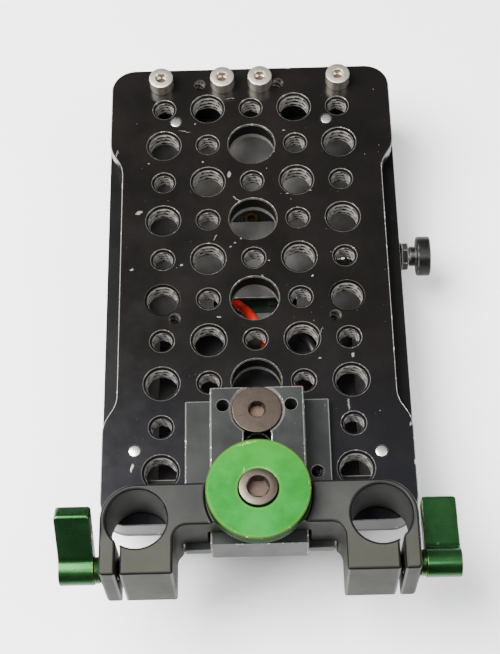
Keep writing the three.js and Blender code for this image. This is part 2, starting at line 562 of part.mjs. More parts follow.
// ---- Rod clamp ----------------------------------------------------------------------------
function clampBody() {
  const outline = roundedRect(CLAMP.halfX, CLAMP.yMin, CLAMP.yMax, CLAMP.earR, 1);
  const block = solidOf(extrudeUp(outline, [CLAMP.zMin, LOCK.bossTop], 10));
  const notchOutline = roundedRect(NOTCH.halfX, CLAMP.yMin - OVER, NOTCH.yMax, NOTCH.cornerR, 0);
  const notch = solidOf(extrudeUp(notchOutline, [CLAMP.zMin - OVER, CLAMP.zMax + OVER], 6));
  const boss = post(0, LOCK.y, [WING.top, LOCK.bossTop], LOCK.bossR, 40);
  const aboveTop = [CLAMP.zMax, LOCK.bossTop + OVER];
  const aroundSeat = cut(
    box([-CLAMP.halfX - 1, CLAMP.halfX + 1], [CLAMP.yMin - 1, CLAMP.yMax + 1], aboveTop),
    post(0, LOCK.y, [CLAMP.zMax - 1, aboveTop[1] + 1], LOCK.seatR, 48),
  );
  const through = [CLAMP.zMin - OVER, LOCK.bossTop + OVER];
  const farY = [CLAMP.yMin - OVER, LOCK.y + LOCK.bossR + OVER];
  const over = (half) => [-half, half];
  const plateClearance = box(over(CLAMP.halfX + 1), [STEP_Y, farY[1]], [through[0], PLATE.zMax + GAP]);
  const wingClearance = box(over(WING.half + RAIL_GAP), farY, [through[0], WING.top + GAP]);
  const tongueClearance = box(over(RAIL.tongueHalf + RAIL_GAP), farY, [through[0], RAIL.top + RAIL_GAP]);
  const screwHole = post(0, LOCK.y, through, LOCK.screwR + GAP, 16);
  const sideCuts = [-1, 1].flatMap((side) => {
    const span = (a, b) => [Math.min(side * a, side * b), Math.max(side * a, side * b)];
    return [
      post(side * ROD.x, ROD.y, through, ROD.r, ROD.sides),
      box(span(SLIT.xMin, SLIT.xMax), [farY[0], SLIT.yMax], through),
      rod(span(SLIT.xMin - 0.5, CLAMP.halfX + 2), LEVER.y, LEVER.z, LEVER_SCREW.r + GAP, 16),
      rod(span(LEVER_SCREW.xMin - 2, SLIT.xMin + 0.5), LEVER.y, LEVER.z, LEVER_SCREW.r + FIT, 16),
    ];
  });
  const clearances = [plateClearance, wingClearance, tongueClearance];
  return cut(join(cut(block, notch, aroundSeat), boss), ...clearances, screwHole, ...sideCuts);
}

function tNut() {
  const along = (half) => [LOCK.y - half, LOCK.y + half];
  const foot = box([-T_NUT.halfX, T_NUT.halfX], along(T_NUT.halfY), [PLATE.zMax + GAP, T_NUT.zMax]);
  const neckX = [-T_NUT.neckHalf, T_NUT.neckHalf];
  const neck = box(neckX, along(T_NUT.neckHalf), [PLATE.zMax + 2, T_NUT.neckTop]);
  return cut(join(foot, neck), post(0, LOCK.y, [PLATE.zMax, RAIL.top], LOCK.screwR + FIT, 16));
}

function lockScrew() {
  const { screwR, headR, headMin, headTop, y } = LOCK;
  const zMin = PLATE.zMax + 0.8;
  const profile = [
    [0, zMin], [screwR, zMin], [screwR, headMin], [headR, headMin],
    [headR, headTop - LOCK_HEAD_EDGE], [headR - LOCK_HEAD_EDGE, headTop], [0, headTop],
  ];
  const body = turned(profile, 24);
  body.translate(0, y, 0);
  return cut(solidOf(body), hexSocket(0, y, [headTop - LOCK_HEX.depth, headTop + OVER], LOCK_HEX.across));
}

function lockKnob() {
  const { r, zMin, zMax, edge } = LOCK_KNOB;
  const inner = LOCK.headR + FIT;
  const profile = [
    [inner, zMin], [r - edge, zMin], [r, zMin + edge], [r, zMax - edge], [r - edge, zMax], [inner, zMax],
    [inner, zMin],
  ];
  const wheel = turned(profile, 32);
  wheel.translate(0, LOCK.y, 0);
  return wheel;
}

// ---- Clamp levers -------------------------------------------------------------------------
// Built about the hub's own centre with the arm along +Y; the group turns it to its angle.
function leverPieces(side, sideName, tilt) {
  const group = new THREE.Group();
  group.position.set(0, LEVER.y, LEVER.z);
  group.rotation.x = THREE.MathUtils.degToRad(tilt);
  assembly.add(group);
  const span = (a, b) => [Math.min(side * a, side * b), Math.max(side * a, side * b)];
  const x = span(LEVER.xMin, LEVER.xMax);
  const hub = rod(x, 0, 0, LEVER.hubR, 24);
  const armZ = -LEVER.hubR + 0.05;
  const arm = box(x, [0, LEVER.reach], [armZ, armZ + LEVER.thick]);
  const collar = rod(span(LEVER_COLLAR.xMin, LEVER.xMin + 1), 0, 0, LEVER_COLLAR.r, 20);
  const bore = rod(span(LEVER_COLLAR.xMin - 1, LEVER_SCREW.xMax + FIT), 0, 0, LEVER_SCREW.r + FIT, 16);
  addPiece(`lever_${sideName}`, cut(join(hub, arm, collar), bore), deepGreen, [0, 0, 0], group);
  const screw = rod(span(LEVER_SCREW.xMin, LEVER_SCREW.xMax), 0, 0, LEVER_SCREW.r, 16);
  addPiece(`lever_screw_${sideName}`, screw, stainless, [0, 0, 0], group);
}

// ---- Assembly -----------------------------------------------------------------------------
addPiece('cheese_plate', cheesePlate(), blackAnodised);
addPiece('side_wall_left', sideWall(-1), blackAnodised);
addPiece('side_wall_right', sideWall(1), blackAnodised);
addPiece('top_end_cap', topEndCap(), blackAnodised);
addPiece('bottom_end_cap', bottomEndCap(), blackAnodised);
addPiece('battery_plate', batteryPlate(), blackPlastic);
addPiece('inner_floor', innerFloor(), floorGrey);
addPiece('contact_block', contactBlock(), blackPlastic);
BLADE.x.forEach((x, i) => {
  addPiece(`contact_blade_${i + 1}`, bladeSolid(x, 0, [BLADE.zMin, CONTACT_BLOCK.noseZ + 4]), brass);
});
addPiece('pcb', box([-PCB.halfX, PCB.halfX], [PCB.yMin, PCB.yMax], [PCB.zMin, PCB.zMax]), boardGreen);
addPiece('terminal_insert', insertRing(), brass, [INSERT.x, INSERT.y, INSERT.zMax - INSERT.height]);
addPiece('red_lead', tube(RED_LEAD, LEAD_R.main, 22), redRubber);
addPiece('black_lead', tube(BLACK_LEAD, LEAD_R.main, 22), blackRubber);
addPiece('outlet_lead_red', tube(OUTLET_LEAD_RED, LEAD_R.outlet, 14), redRubber);
addPiece('outlet_lead_black', tube(OUTLET_LEAD_BLACK, LEAD_R.outlet, 14), blackRubber);
OUTLET.x.forEach((x, i) => {
  const sideName = ['left', 'right'][i];
  addPiece(`outlet_${sideName}`, outletBody(), blackPlastic, [x, 0, 0]);
  [-1, 1].forEach((side, j) => {
    addPiece(`outlet_contact_${sideName}_${j + 1}`, outletContact(side), brass, [x, 0, 0]);
  });
});

TOP_SCREW_X.forEach((x, i) => {
  addPiece(`top_screw_${i + 1}`, capScrew(SCREW_M4), stainless, [x, SCREW_ROW_Y, PLATE.zMax]);
});
DOWEL.spots.forEach(([x, y], i) => {
  const pin = new THREE.CylinderGeometry(DOWEL.r, DOWEL.r, DOWEL.length, HOLE_SIDES.fine);
  pin.rotateX(Math.PI / 2);
  addPiece(`dowel_pin_${i + 1}`, pin, stainless, [x, y, PLATE.zMax - DOWEL.length / 2]);
});
let wallScrewCount = 0;
for (const side of [-1, 1]) {
  for (const y of WALL_SCREW.y) {
    wallScrewCount += 1;
    const screw = addPiece(`wall_screw_${wallScrewCount}`, capScrew(SCREW_M3, 12), stainless,
      [side * WALL_SCREW.x, y, LIP.zMin]);
    screw.rotation.x = Math.PI;
  }
}
[-1, 1].forEach((side, i) => {
  const screw = addPiece(`cap_screw_${i + 1}`, capScrew(SCREW_M3, 12), stainless,
    [side * CAP_SCREW.x, CAP_SCREW.y, LIP.zMin]);
  screw.rotation.x = Math.PI;
});
CASE_SCREW.y.forEach((y, row) => {
  [-1, 1].forEach((side, i) => {
    addPiece(`case_screw_${2 * row + i + 1}`, flatScrew(SCREW_FLAT), stainless, [side * CASE_SCREW.x, y, 0]);
  });
});

addPiece('slider_rail', sliderRail(), greyAnodised);
addPiece('rail_bolt', railBolt(), warmSteel);
addPiece('rod_clamp_body', clampBody(), greyAnodised);
addPiece('t_nut', tNut(), stainless);
addPiece('lock_screw', lockScrew(), warmSteel);
addPiece('lock_knob', lockKnob(), brightGreen);
leverPieces(-1, 'left', LEVER_TILT.left);
leverPieces(1, 'right', LEVER_TILT.right);

addPiece('latch_bushing', latchBushing(), blackAnodised);
addPiece('latch_shaft', latchShaft(), stainless);
addPiece('latch_knob', latchKnob(), blackPlastic);
addPiece('latch_catch', latchCatch(), stainless);
addPiece('latch_spring', latchSpring(), stainless);

export default assembly;
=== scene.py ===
"""Looks of a battery cheese plate with a dual 15 mm rod clamp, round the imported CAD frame.

Shapes are built in millimetres in the row frame (x right, y towards the screw row, z up) and
scaled to metres when a piece is finished.
"""
import math

import bmesh
import bpy
from mathutils import Matrix, Vector
from mathutils.geometry import delaunay_2d_cdt

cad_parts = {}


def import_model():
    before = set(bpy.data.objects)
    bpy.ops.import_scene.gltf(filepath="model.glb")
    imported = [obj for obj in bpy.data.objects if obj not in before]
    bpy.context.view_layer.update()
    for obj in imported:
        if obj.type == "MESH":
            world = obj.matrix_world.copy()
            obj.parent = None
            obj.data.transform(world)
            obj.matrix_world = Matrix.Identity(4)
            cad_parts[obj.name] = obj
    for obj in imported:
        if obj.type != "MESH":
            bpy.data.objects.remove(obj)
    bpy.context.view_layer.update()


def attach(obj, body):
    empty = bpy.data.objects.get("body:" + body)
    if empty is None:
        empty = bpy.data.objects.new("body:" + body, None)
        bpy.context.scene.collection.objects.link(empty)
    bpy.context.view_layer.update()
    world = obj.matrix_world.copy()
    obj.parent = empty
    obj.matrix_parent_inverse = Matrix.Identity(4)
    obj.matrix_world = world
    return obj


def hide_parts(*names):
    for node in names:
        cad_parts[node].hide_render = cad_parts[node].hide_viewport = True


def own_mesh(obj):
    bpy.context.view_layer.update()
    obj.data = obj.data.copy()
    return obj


MM = 0.001
SHARP = math.radians(32)  # edges from this turn on are shaded sharp
ROUNDED_FROM = math.radians(34)  # and from this turn on are rounded by soften()
SIDES = (-1, 1)
MARK_DEPTH = 1.3  # how far below its face a chip or scratch shows on an edge

# ---- Dimensions that the looks share with the CAD ----------------
PITCH = 12.7
ROW_5_Y = 15.5
FIRST_ROW, LAST_ROW = 1, 10
PLATE_Z = (23.65, 30.0)
PLATE_Y = (-62.35, 80.65)
PLATE_HALF, PLATE_WAIST, PLATE_CORNER = 41.0, 37.35, 7.0
WAIST_STRAIGHT, WAIST_FULL = 34.5, 46.0
SCREW_ROW_Y = 75.0
SCREW_X = (-26.2, -8.2, 2.9, 25.9)  # the four screws of the top edge
EMPTY_X = (-15, 8.15)  # the empty holes between them
UPPER_PINS = ((-22, 61.75), (22, 61.75))
LOWER_PINS = ((-32.3, -41.8), (32.2, -43.4))
RELIEF_X, RELIEF_Y = 22, -3.15
HOUSING_HALF, HOUSING_CORNER = 41.5, 7.5
HOUSING_Y = (-52.5, 80.65)
HOUSING_Z = (6.0, 23.65)
LIP_Z = 21.55
TOP_CAP_Y, WEB_Y = 71.6, -47.5  # where the side walls meet the end caps
M3_BORE, SHAFT_BORE = 1.7, 2.1
WALL_SCREW_X, WALL_SCREW_Y = 35.2, (45, -25)
CAP_SCREW_X, CAP_SCREW_Y = 13, -57.4
CASE_SCREW_X, CASE_SCREW_Y = 33, (76.2, -50)
OUTLET_X = {"left": -17.2, "right": 14.4}
BLADE_X = (-15, -9, 9, 15)
LEAD_SOCKET_X, LEAD_SOCKET_Y = (14, 21), -27.5
INSERT_X, INSERT_Y = -0.6, 42.3
BOARD_TOP = 7.2
CATCH_Y = (18.7, 26.7)
LATCH_Y, LATCH_Z = 22.7, 15.8
TONGUE_HALF, TONGUE_Y, RAIL_TOP = 12.15, (-71.5, -28.9), 40.4
WING_HALF, WING_Y, WING_TOP = 19, (-70.4, -29.1), 32.5
SLOT_HALF, SLOT_Y = 3.5, (-69, -38.8)
CHANNEL_HALF, CHANNEL_Y, CHANNEL_TOP = 5.8, (-70.6, -44), 34.5
BOLT_Y, BOLT_HEAD_R = -35.3, 6.4
CLAMP_HALF, CLAMP_Y, CLAMP_Z = 39, (-80.65, -57.5), (25, 46.9)
NOTCH_HALF, NOTCH_Y = 21, -68.4
ROD_X, ROD_Y, ROD_R = 30, -66.5, 7.5
SLIT_X, SLIT_Y = (33.9, 34.95), -71.5
JAW_STEP_Y = -66.8  # the jaws reach below the plate's top only past this
LOCK_Y, BOSS_R, SEAT_R, SEAT_TOP = -61.2, 9, 13.4, 47.4
LOCK_HEAD_R, LOCK_HEAD_TOP, LOCK_SOCKET_Z = 4.8, 53, 49.8
KNOB_R, KNOB_Z = 13, (47.9, 51.9)
LEVER_Y, LEVER_Z = -76.55, 38.0
LEVER_HUB_R, LEVER_REACH, LEVER_X = 3.65, 17.7, (40.7, 49.4)
COLLAR_R, COLLAR_X = 3.3, 39.3
LEVER_SCREW_R, LEVER_SCREW_X = 2.5, (22, 47.6)

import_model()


# ---- Mesh building -----------------------------------------------
def placed(name, data):
    """A new object of that data, in the scene."""
    ob = bpy.data.objects.new(name, data)
    bpy.context.scene.collection.objects.link(ob)
    return ob


def thing(name, bm):
    """An object whose mesh is that bmesh, in millimetres, with its normals facing out."""
    bmesh.ops.recalc_face_normals(bm, faces=bm.faces)
    mesh = bpy.data.meshes.new(name)
    bm.to_mesh(mesh)
    bm.free()
    return placed(name, mesh)


def turned_to(axis, u, v, w):
    """A point from a section's u, v and the distance w along the axis."""
    return {"z": (u, v, w), "x": (w, u, v), "y": (u, w, v)}[axis]


def prism(points, span, axis="z"):
    """A closed outline swept straight along an axis."""
    bm = bmesh.new()
    low = [bm.verts.new(turned_to(axis, u, v, span[0])) for u, v in points]
    high = [bm.verts.new(turned_to(axis, u, v, span[1])) for u, v in points]
    bm.faces.new(low[::-1])
    bm.faces.new(high)
    for i in range(len(points)):
        j = (i + 1) % len(points)
        bm.faces.new((low[i], low[j], high[j], high[i]))
    return thing("part", bm)


def block(x, y, z):
    return prism([(x[0], y[0]), (x[1], y[0]), (x[1], y[1]), (x[0], y[1])], z)


def arc(u, v, r, start, end, steps):
    """Points on an arc from start to end, in degrees."""
    turn = [math.radians(start + (end - start) * i / steps) for i in range(steps + 1)]
    return [(u + r * math.cos(a), v + r * math.sin(a)) for a in turn]


def circle(u, v, r, sides, start=0.0):
    return arc(u, v, r, start, start + 360, sides)[:-1]


def drill(u, v, r, span, axis="z", sides=48):
    return prism(circle(u, v, r, sides), span, axis)


def hexagon(u, v, across, span, axis="z"):
    return prism(circle(u, v, across / math.sqrt(3), 6, 90 if axis == "x" else 0), span, axis)


def cone(x, y, low, high, sides=48):
    """A frustum along z from (radius, z) low to high."""
    return lathe([(0, low[1]), low, high, (0, high[1])], sides, at=(x, y, 0), soft=0)


def rounded(half, y0, y1, top_r, bottom_r, steps=10):
    """A rectangle about x = 0 with rounded corners."""
    loop = []
    for sx, y, r, start in ((1, y0, bottom_r, -90), (1, y1, top_r, 0), (-1, y1, top_r, 90),
                            (-1, y0, bottom_r, 180)):
        if r <= 0:
            loop.append((sx * half, y))
        else:
            cy = y + r if y == y0 else y - r
            loop += arc(sx * (half - r), cy, r, start, start + 90, steps)
    return loop


def rounded_corners(profile, soft):
    """A profile of (radius, height) with each corner cut by soft, and whether each step is an edge."""
    made, edges = [Vector(profile[0])], []
    for before, here, after in zip(profile, profile[1:], profile[2:]):
        p, q, r = Vector(before), Vector(here), Vector(after)
        a, b = p - q, r - q
        reach = min(soft, 0.45 * a.length, 0.45 * b.length)
        if reach < 0.01 or a.angle(b, math.pi) > math.radians(155):
            made.append(q)
            edges.append(False)
            continue
        first, last = q + a.normalized() * reach, q + b.normalized() * reach
        middle = (first + last) / 2 * 0.45 + q * 0.55
        made += [first, middle, last]
        edges += [False, True, True]
    made.append(Vector(profile[-1]))
    edges.append(False)
    return made, edges


def lathe(profile, sides, at=(0, 0, 0), axis="z", soft=0.2, ridges=None):
    """A turned solid. Ridges (radius, depth) cut every other side of that radius, as a knurl."""
    points, edges = rounded_corners(profile, soft) if soft else ([Vector(p) for p in profile],
                                                                 [False] * (len(profile) - 1))
    bm = bmesh.new()
    tag = bm.faces.layers.float.new("edge")
    rings = []
    for r, h in points:
        if r < 1e-6:
            rings.append([bm.verts.new(turned_to(axis, 0, 0, h))] * sides)
            continue
        ring = []
        for i in range(sides):
            cut = ridges[1] if ridges and i % 2 and abs(r - ridges[0]) < 0.08 else 0
            a = 2 * math.pi * i / sides
            ring.append(bm.verts.new(turned_to(axis, (r - cut) * math.sin(a), (r - cut) * math.cos(a), h)))
        rings.append(ring)
    for low, high, edge in zip(rings, rings[1:], edges):
        for i in range(sides):
            j = (i + 1) % sides
            corners = list(dict.fromkeys((low[i], low[j], high[j], high[i])))
            if len(corners) > 2:
                bm.faces.new(corners)[tag] = float(edge)
    bmesh.ops.translate(bm, verts=bm.verts, vec=at)
    return thing("part", bm)


def merged(parts):
    """Several objects as one, without joining their surfaces."""
    bm = bmesh.new()
    for part in parts:
        bm.from_mesh(part.data)
        bpy.data.objects.remove(part)
    return thing("tools", bm)


def applied(ob):
    mesh = bpy.data.meshes.new_from_object(ob.evaluated_get(bpy.context.evaluated_depsgraph_get()))
    ob.modifiers.clear()
    ob.data = mesh
    return ob


def combine(ob, parts, operation):
    tool = merged(parts)
    modifier = ob.modifiers.new("combine", "BOOLEAN")
    modifier.object, modifier.operation, modifier.solver = tool, operation, "EXACT"
    modifier.use_self = len(parts) > 1
    bpy.context.view_layer.update()
    applied(ob)
    bpy.data.objects.remove(tool)
    return ob


def carve(ob, *tools):
    return combine(ob, tools, "DIFFERENCE")


def join(ob, *others):
    return combine(ob, others, "UNION")


def soften(ob, width, segments=2):
    """Rounds every sharp edge and marks the new faces, where the finish wears first and where the clamp's
    near-black line of painted shade goes.
    """
    mesh = ob.data
    mesh.materials.clear()
    for _ in range(2):
        mesh.materials.append(None)
    mesh.polygons.foreach_set("material_index", [0] * len(mesh.polygons))
    bevel = ob.modifiers.new("bevel", "BEVEL")
    bevel.width, bevel.segments, bevel.material = width, segments, 1
    bevel.limit_method, bevel.angle_limit = "ANGLE", ROUNDED_FROM
    bevel.use_clamp_overlap, bevel.miter_outer = False, "MITER_ARC"
    applied(ob)
    mesh = ob.data
    wear_and_shade = [float(f.material_index == 1) for f in mesh.polygons]
    old = mesh.attributes.get("edge")
    if old:
        mesh.attributes.remove(old)
    mesh.attributes.new("edge", "FLOAT", "FACE").data.foreach_set("value", wear_and_shade)
    mesh.polygons.foreach_set("material_index", [0] * len(mesh.polygons))
    return ob


def piece(ob, name, nodes, finish, body="housing", weighted=True, sharp=SHARP):
    """Names, scales and shades a finished shape, gives it its finish, puts it on its body and hides the CAD
    parts it replaces.
    """
    mesh = ob.data
    mesh.transform(Matrix.Scale(MM, 4))
    mesh.materials.clear()
    mesh.materials.append(finish.material)
    mesh.shade_smooth()
    mesh.set_sharp_from_angle(angle=sharp)
    if weighted:
        ob.modifiers.new("normals", "WEIGHTED_NORMAL").keep_sharp = True
        applied(ob)
    ob.name = name
    ob.data.name = name
    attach(ob, body)
    if nodes:
        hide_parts(*nodes)
    return ob


# ---- Materials ---------------------------------------------------
class Nodes:
    """A node tree, with a function for each kind of node that hands back its output."""

    def __init__(self, tree):
        self.tree = tree

    def add(self, kind, inputs=None, **properties):
        """A node with its inputs, by name or number, set to numbers or linked to sockets."""
        node = self.tree.nodes.new(kind)
        for key, value in properties.items():
            setattr(node, key, value)
        for key, value in (inputs or {}).items():
            self.feed(node.inputs[key], value)
        return node

    def feed(self, socket, value):
        if isinstance(value, bpy.types.NodeSocket):
            self.tree.links.new(value, socket)
        else:
            socket.default_value = value

    def maths(self, operation, a, b):
        return self.add("ShaderNodeMath", {0: a, 1: b}, operation=operation).outputs[0]

    def vector(self, operation, a, b):
        return self.add("ShaderNodeVectorMath", {0: a, 1: b}, operation=operation).outputs[0]

    def length(self, vector):
        return self.add("ShaderNodeVectorMath", {0: vector}, operation="LENGTH").outputs["Value"]

    def band(self, value, low, high, out=(0.0, 1.0)):
        """A smooth step between the two of out, as the value goes from low to high."""
        inputs = {"Value": value, "From Min": low, "From Max": high, "To Min": out[0], "To Max": out[1]}
        return self.add("ShaderNodeMapRange", inputs, interpolation_type="SMOOTHSTEP").outputs[0]


class Finish(Nodes):
    """A node material round one Principled shader, with its pattern sizes in millimetres."""

    def __init__(self, name, **sockets):
        self.name = name
        self.material = bpy.data.materials.new(name)
        self.material.use_nodes = True
        super().__init__(self.material.node_tree)
        self.shader = self.tree.nodes["Principled BSDF"]
        for key, value in sockets.items():
            self.set(key.replace("_", " "), value)
        here = self.add("ShaderNodeTexCoord").outputs["Object"]
        self.place = self.vector("MULTIPLY", here, (1 / MM,) * 3)

    def along(self, axis):
        """How far along x, y or z (0, 1 or 2) the place is."""
        return self.add("ShaderNodeSeparateXYZ", {0: self.place}).outputs[axis]

    def noise(self, size, detail, rough, stretch=None, shift=0.0):
        place = self.vector("MULTIPLY", self.place, stretch) if stretch else self.place
        inputs = {"Scale": 1 / size, "Detail": detail, "Roughness": rough, "W": shift, "Vector": place}
        return self.add("ShaderNodeTexNoise", inputs, noise_dimensions="4D").outputs["Fac"]

    def mix(self, share, a, b):
        inputs = {"Factor": share, 6: a, 7: b}
        return self.add("ShaderNodeMix", inputs, data_type="RGBA").outputs[2]

    def painted(self, name):
        """A value that the mesh holds for each face."""
        return self.add("ShaderNodeAttribute", attribute_name=name).outputs["Fac"]

    def around(self, centre, axis="z"):
        """Distance from a turning axis through centre, in millimetres."""
        shift = self.vector("SUBTRACT", self.place, centre)
        return self.length(self.vector("MULTIPLY", shift, (1, 1, 0) if axis == "z" else (0, 1, 1)))

    def rings(self, distance, size):
        """Fine tool rings at that distance from an axis."""
        inputs = {"Scale": 1.0, "Detail": 2.0, "W": self.maths("MULTIPLY_ADD", distance, 1 / size)}
        return self.add("ShaderNodeTexNoise", inputs, noise_dimensions="1D").outputs["Fac"]

    def mark(self, moved, at, length, width, angle):
        """A scratch or chip on a face seen along z: an ellipse, uneven where the place is moved."""
        inputs = {"Vector": moved, "Location": at, "Rotation": (0, 0, math.radians(angle)),
                  "Scale": (length / 2, width / 2, MARK_DEPTH)}
        node = self.add("ShaderNodeMapping", inputs, vector_type="TEXTURE")
        return self.band(self.length(node.outputs[0]), 0.7, 1.15, (1.0, 0.0))

    def marks(self, rows, z):
        """The strongest of the marks, rows of x, y, length, width, turn and strength, at that height."""
        blur = self.add("ShaderNodeTexNoise", {"Scale": 1.6, "Detail": 3, "Vector": self.place})
        reach = 0.9
        inputs = {0: blur.outputs["Color"], 1: (reach, reach, 0), 2: (-reach / 2, -reach / 2, 0)}
        wobble = self.add("ShaderNodeVectorMath", inputs, operation="MULTIPLY_ADD")
        moved = self.vector("ADD", self.place, wobble.outputs[0])
        most = 0.0
        for x, y, length, width, angle, strength in rows:
            spot = self.mark(moved, (x, y, z), length, width, angle)
            most = self.maths("MAXIMUM", most, self.maths("MULTIPLY", spot, strength))
        return most

    def set(self, key, value):
        self.feed(self.shader.inputs[key], value)

    def bump(self, height, depth, strength=1.0):
        """Relief of that depth in millimetres, over any relief set before."""
        inputs = {"Distance": depth * MM, "Strength": strength, "Height": height}
        before = self.shader.inputs["Normal"].links
        if before:
            inputs["Normal"] = before[0].from_socket
        self.set("Normal", self.add("ShaderNodeBump", inputs).outputs[0])


def rgb(text):
    """A linear colour from a screen colour's six hexadecimal digits."""
    parts = [int(text[i:i + 2], 16) / 255 for i in (0, 2, 4)]
    return tuple(c / 12.92 if c <= 0.04045 else ((c + 0.055) / 1.055) ** 2.4 for c in parts) + (1.0,)


BARE = rgb("d8d4cc")


def anodised(name, dark, light, rough, metal, line, chips, specks, grain=0.006, marks=(),
             marked_z=PLATE_Z[1], tints=(), spread=16.0, wear_and_shade=BARE, specular=0.5, brushed=None, rim=None,
             bore_shade_and_glint=0.0):
    """Coloured aluminium: cloudy dye, blasted grain, a pale line with chips on its edges (a near-black line
    of painted shade on the clamp), and marks; tints shift the colour along an axis, rim darkens it near the
    edge round a turning axis as painted shade, and bore walls get painted shade, with a pale line on their
    thread flanks that face up, partly wear and partly painted highlight.
    """
    f = Finish(name, Specular_IOR_Level=specular)
    clouds = f.band(f.noise(spread, 4, 0.6), 0.3, 0.7)
    colour = f.mix(clouds, rgb(dark), rgb(light))
    streaks = f.noise(0.55, 3, 0.6, brushed) if brushed else f.noise(0.4, 2, 0.6, shift=3.1)
    colour = f.mix(f.band(streaks, 0.35, 0.75, (0.0, 0.2)), colour, rgb(light))
    for low, high, axis, tint, share in tints:
        colour = f.mix(f.band(f.along(axis), low, high, (0.0, share)), colour, rgb(tint))
    # A darker colour near the edge round a turning axis: on the knob, painted shade on its outer edge and
    # side wall.
    if rim:
        centre, near, far, tint = rim
        colour = f.mix(f.band(f.around(centre), near, far), colour, rgb(tint))
    # Edge lines, chips, specks, marks and thread flanks take the edge colour. This is mostly wear, but it is
    # painted shade on the clamp's edges and partly painted highlight on the threads.
    ragged = f.band(f.noise(0.8, 4, 0.7, shift=7.7), 0.66 - 0.2 * chips, 0.72 - 0.2 * chips, (line, 1.0))
    wear_and_painted_light = f.maths("MULTIPLY", ragged, f.painted("edge"))
    # Bore walls are darkened towards near black as painted shade. Thread flanks that face up get the pale
    # metal colour, partly wear and partly a painted highlight.
    if bore_shade_and_glint:
        wall = f.painted("bore")
        flank_wear_and_glint = f.band(f.noise(1.4, 3, 0.6, shift=2.6), 0.35, 0.6, (0.12, bore_shade_and_glint))
        wear_and_painted_light = f.maths("MAXIMUM", wear_and_painted_light, f.maths("MULTIPLY", f.band(wall, 0.6, 0.9), flank_wear_and_glint))
        colour = f.mix(f.band(wall, 0.2, 0.4, (0.0, 0.8)), colour, rgb("030303"))
    dots = f.band(f.noise(0.75, 2, 0.5, shift=1.9), 0.745, 0.775, (0.0, specks))
    wear_and_painted_light = f.maths("MAXIMUM", wear_and_painted_light, dots)
    if marks:
        wear_and_painted_light = f.maths("MAXIMUM", wear_and_painted_light, f.marks(marks, marked_z))
    f.set("Base Color", f.mix(wear_and_painted_light, colour, wear_and_shade))
    f.set("Metallic", f.band(wear_and_painted_light, 0.0, 1.0, (metal, 1.0)))
    handled = f.band(f.noise(9.0, 4, 0.65, shift=5.0), 0.3, 0.72, (rough - 0.04, rough + 0.06))
    if bore_shade_and_glint:
        handled = f.maths("ADD", handled, f.band(wall, 0.2, 0.4, (0.0, 0.55)))
    f.set("Roughness", f.maths("SUBTRACT", handled, f.band(wear_and_painted_light, 0.0, 1.0, (0.0, 0.06))))
    f.bump(streaks if brushed else f.noise(0.16, 2, 0.6), grain)
    f.bump(wear_and_painted_light, 0.02, 0.6)
    return f


def polished(name, dark, light, rough, centre=None, axis="z", size=0.16, grime=0.35):
    """Bare metal with fine tool rings or brushing, and dirt in its clouds."""
    f = Finish(name)
    clouds = f.band(f.noise(2.2, 4, 0.65), 0.38, 0.7, (0.0, grime))
    f.set("Base Color", f.mix(clouds, rgb(light), rgb(dark)))
    f.set("Metallic", 1.0)
    lines = f.rings(f.around(centre, axis), size) if centre else f.noise(0.22, 3, 0.6, (1, 1, 7))
    f.set("Roughness", f.band(lines, 0.3, 0.75, (rough - 0.06, rough + 0.1)))
    f.bump(lines, 0.01)
    f.bump(f.noise(0.3, 3, 0.6, shift=2.0), 0.004)
    return f


def moulded(name, dark, light, rough, grain, size, scuffs=0.0, specular=0.5):
    """Moulded plastic or rubber: fine texture, slight colour drift, pale scuffed edges."""
    f = Finish(name, Specular_IOR_Level=specular)
    colour = f.mix(f.band(f.noise(7.0, 4, 0.6), 0.3, 0.7), rgb(dark), rgb(light))
    rubbed = f.band(f.noise(1.1, 4, 0.7, shift=4.0), 0.46, 0.62, (0.0, scuffs))
    scuff = f.maths("MULTIPLY", rubbed, f.painted("edge"))
    colour = f.mix(scuff, colour, rgb("8a8a88"))
    f.set("Base Color", colour)
    f.set("Roughness", f.band(f.noise(3.0, 3, 0.6, shift=6.0), 0.3, 0.7, (rough - 0.06, rough + 0.08)))
    f.bump(f.noise(size, 2, 0.5), grain)
    return f


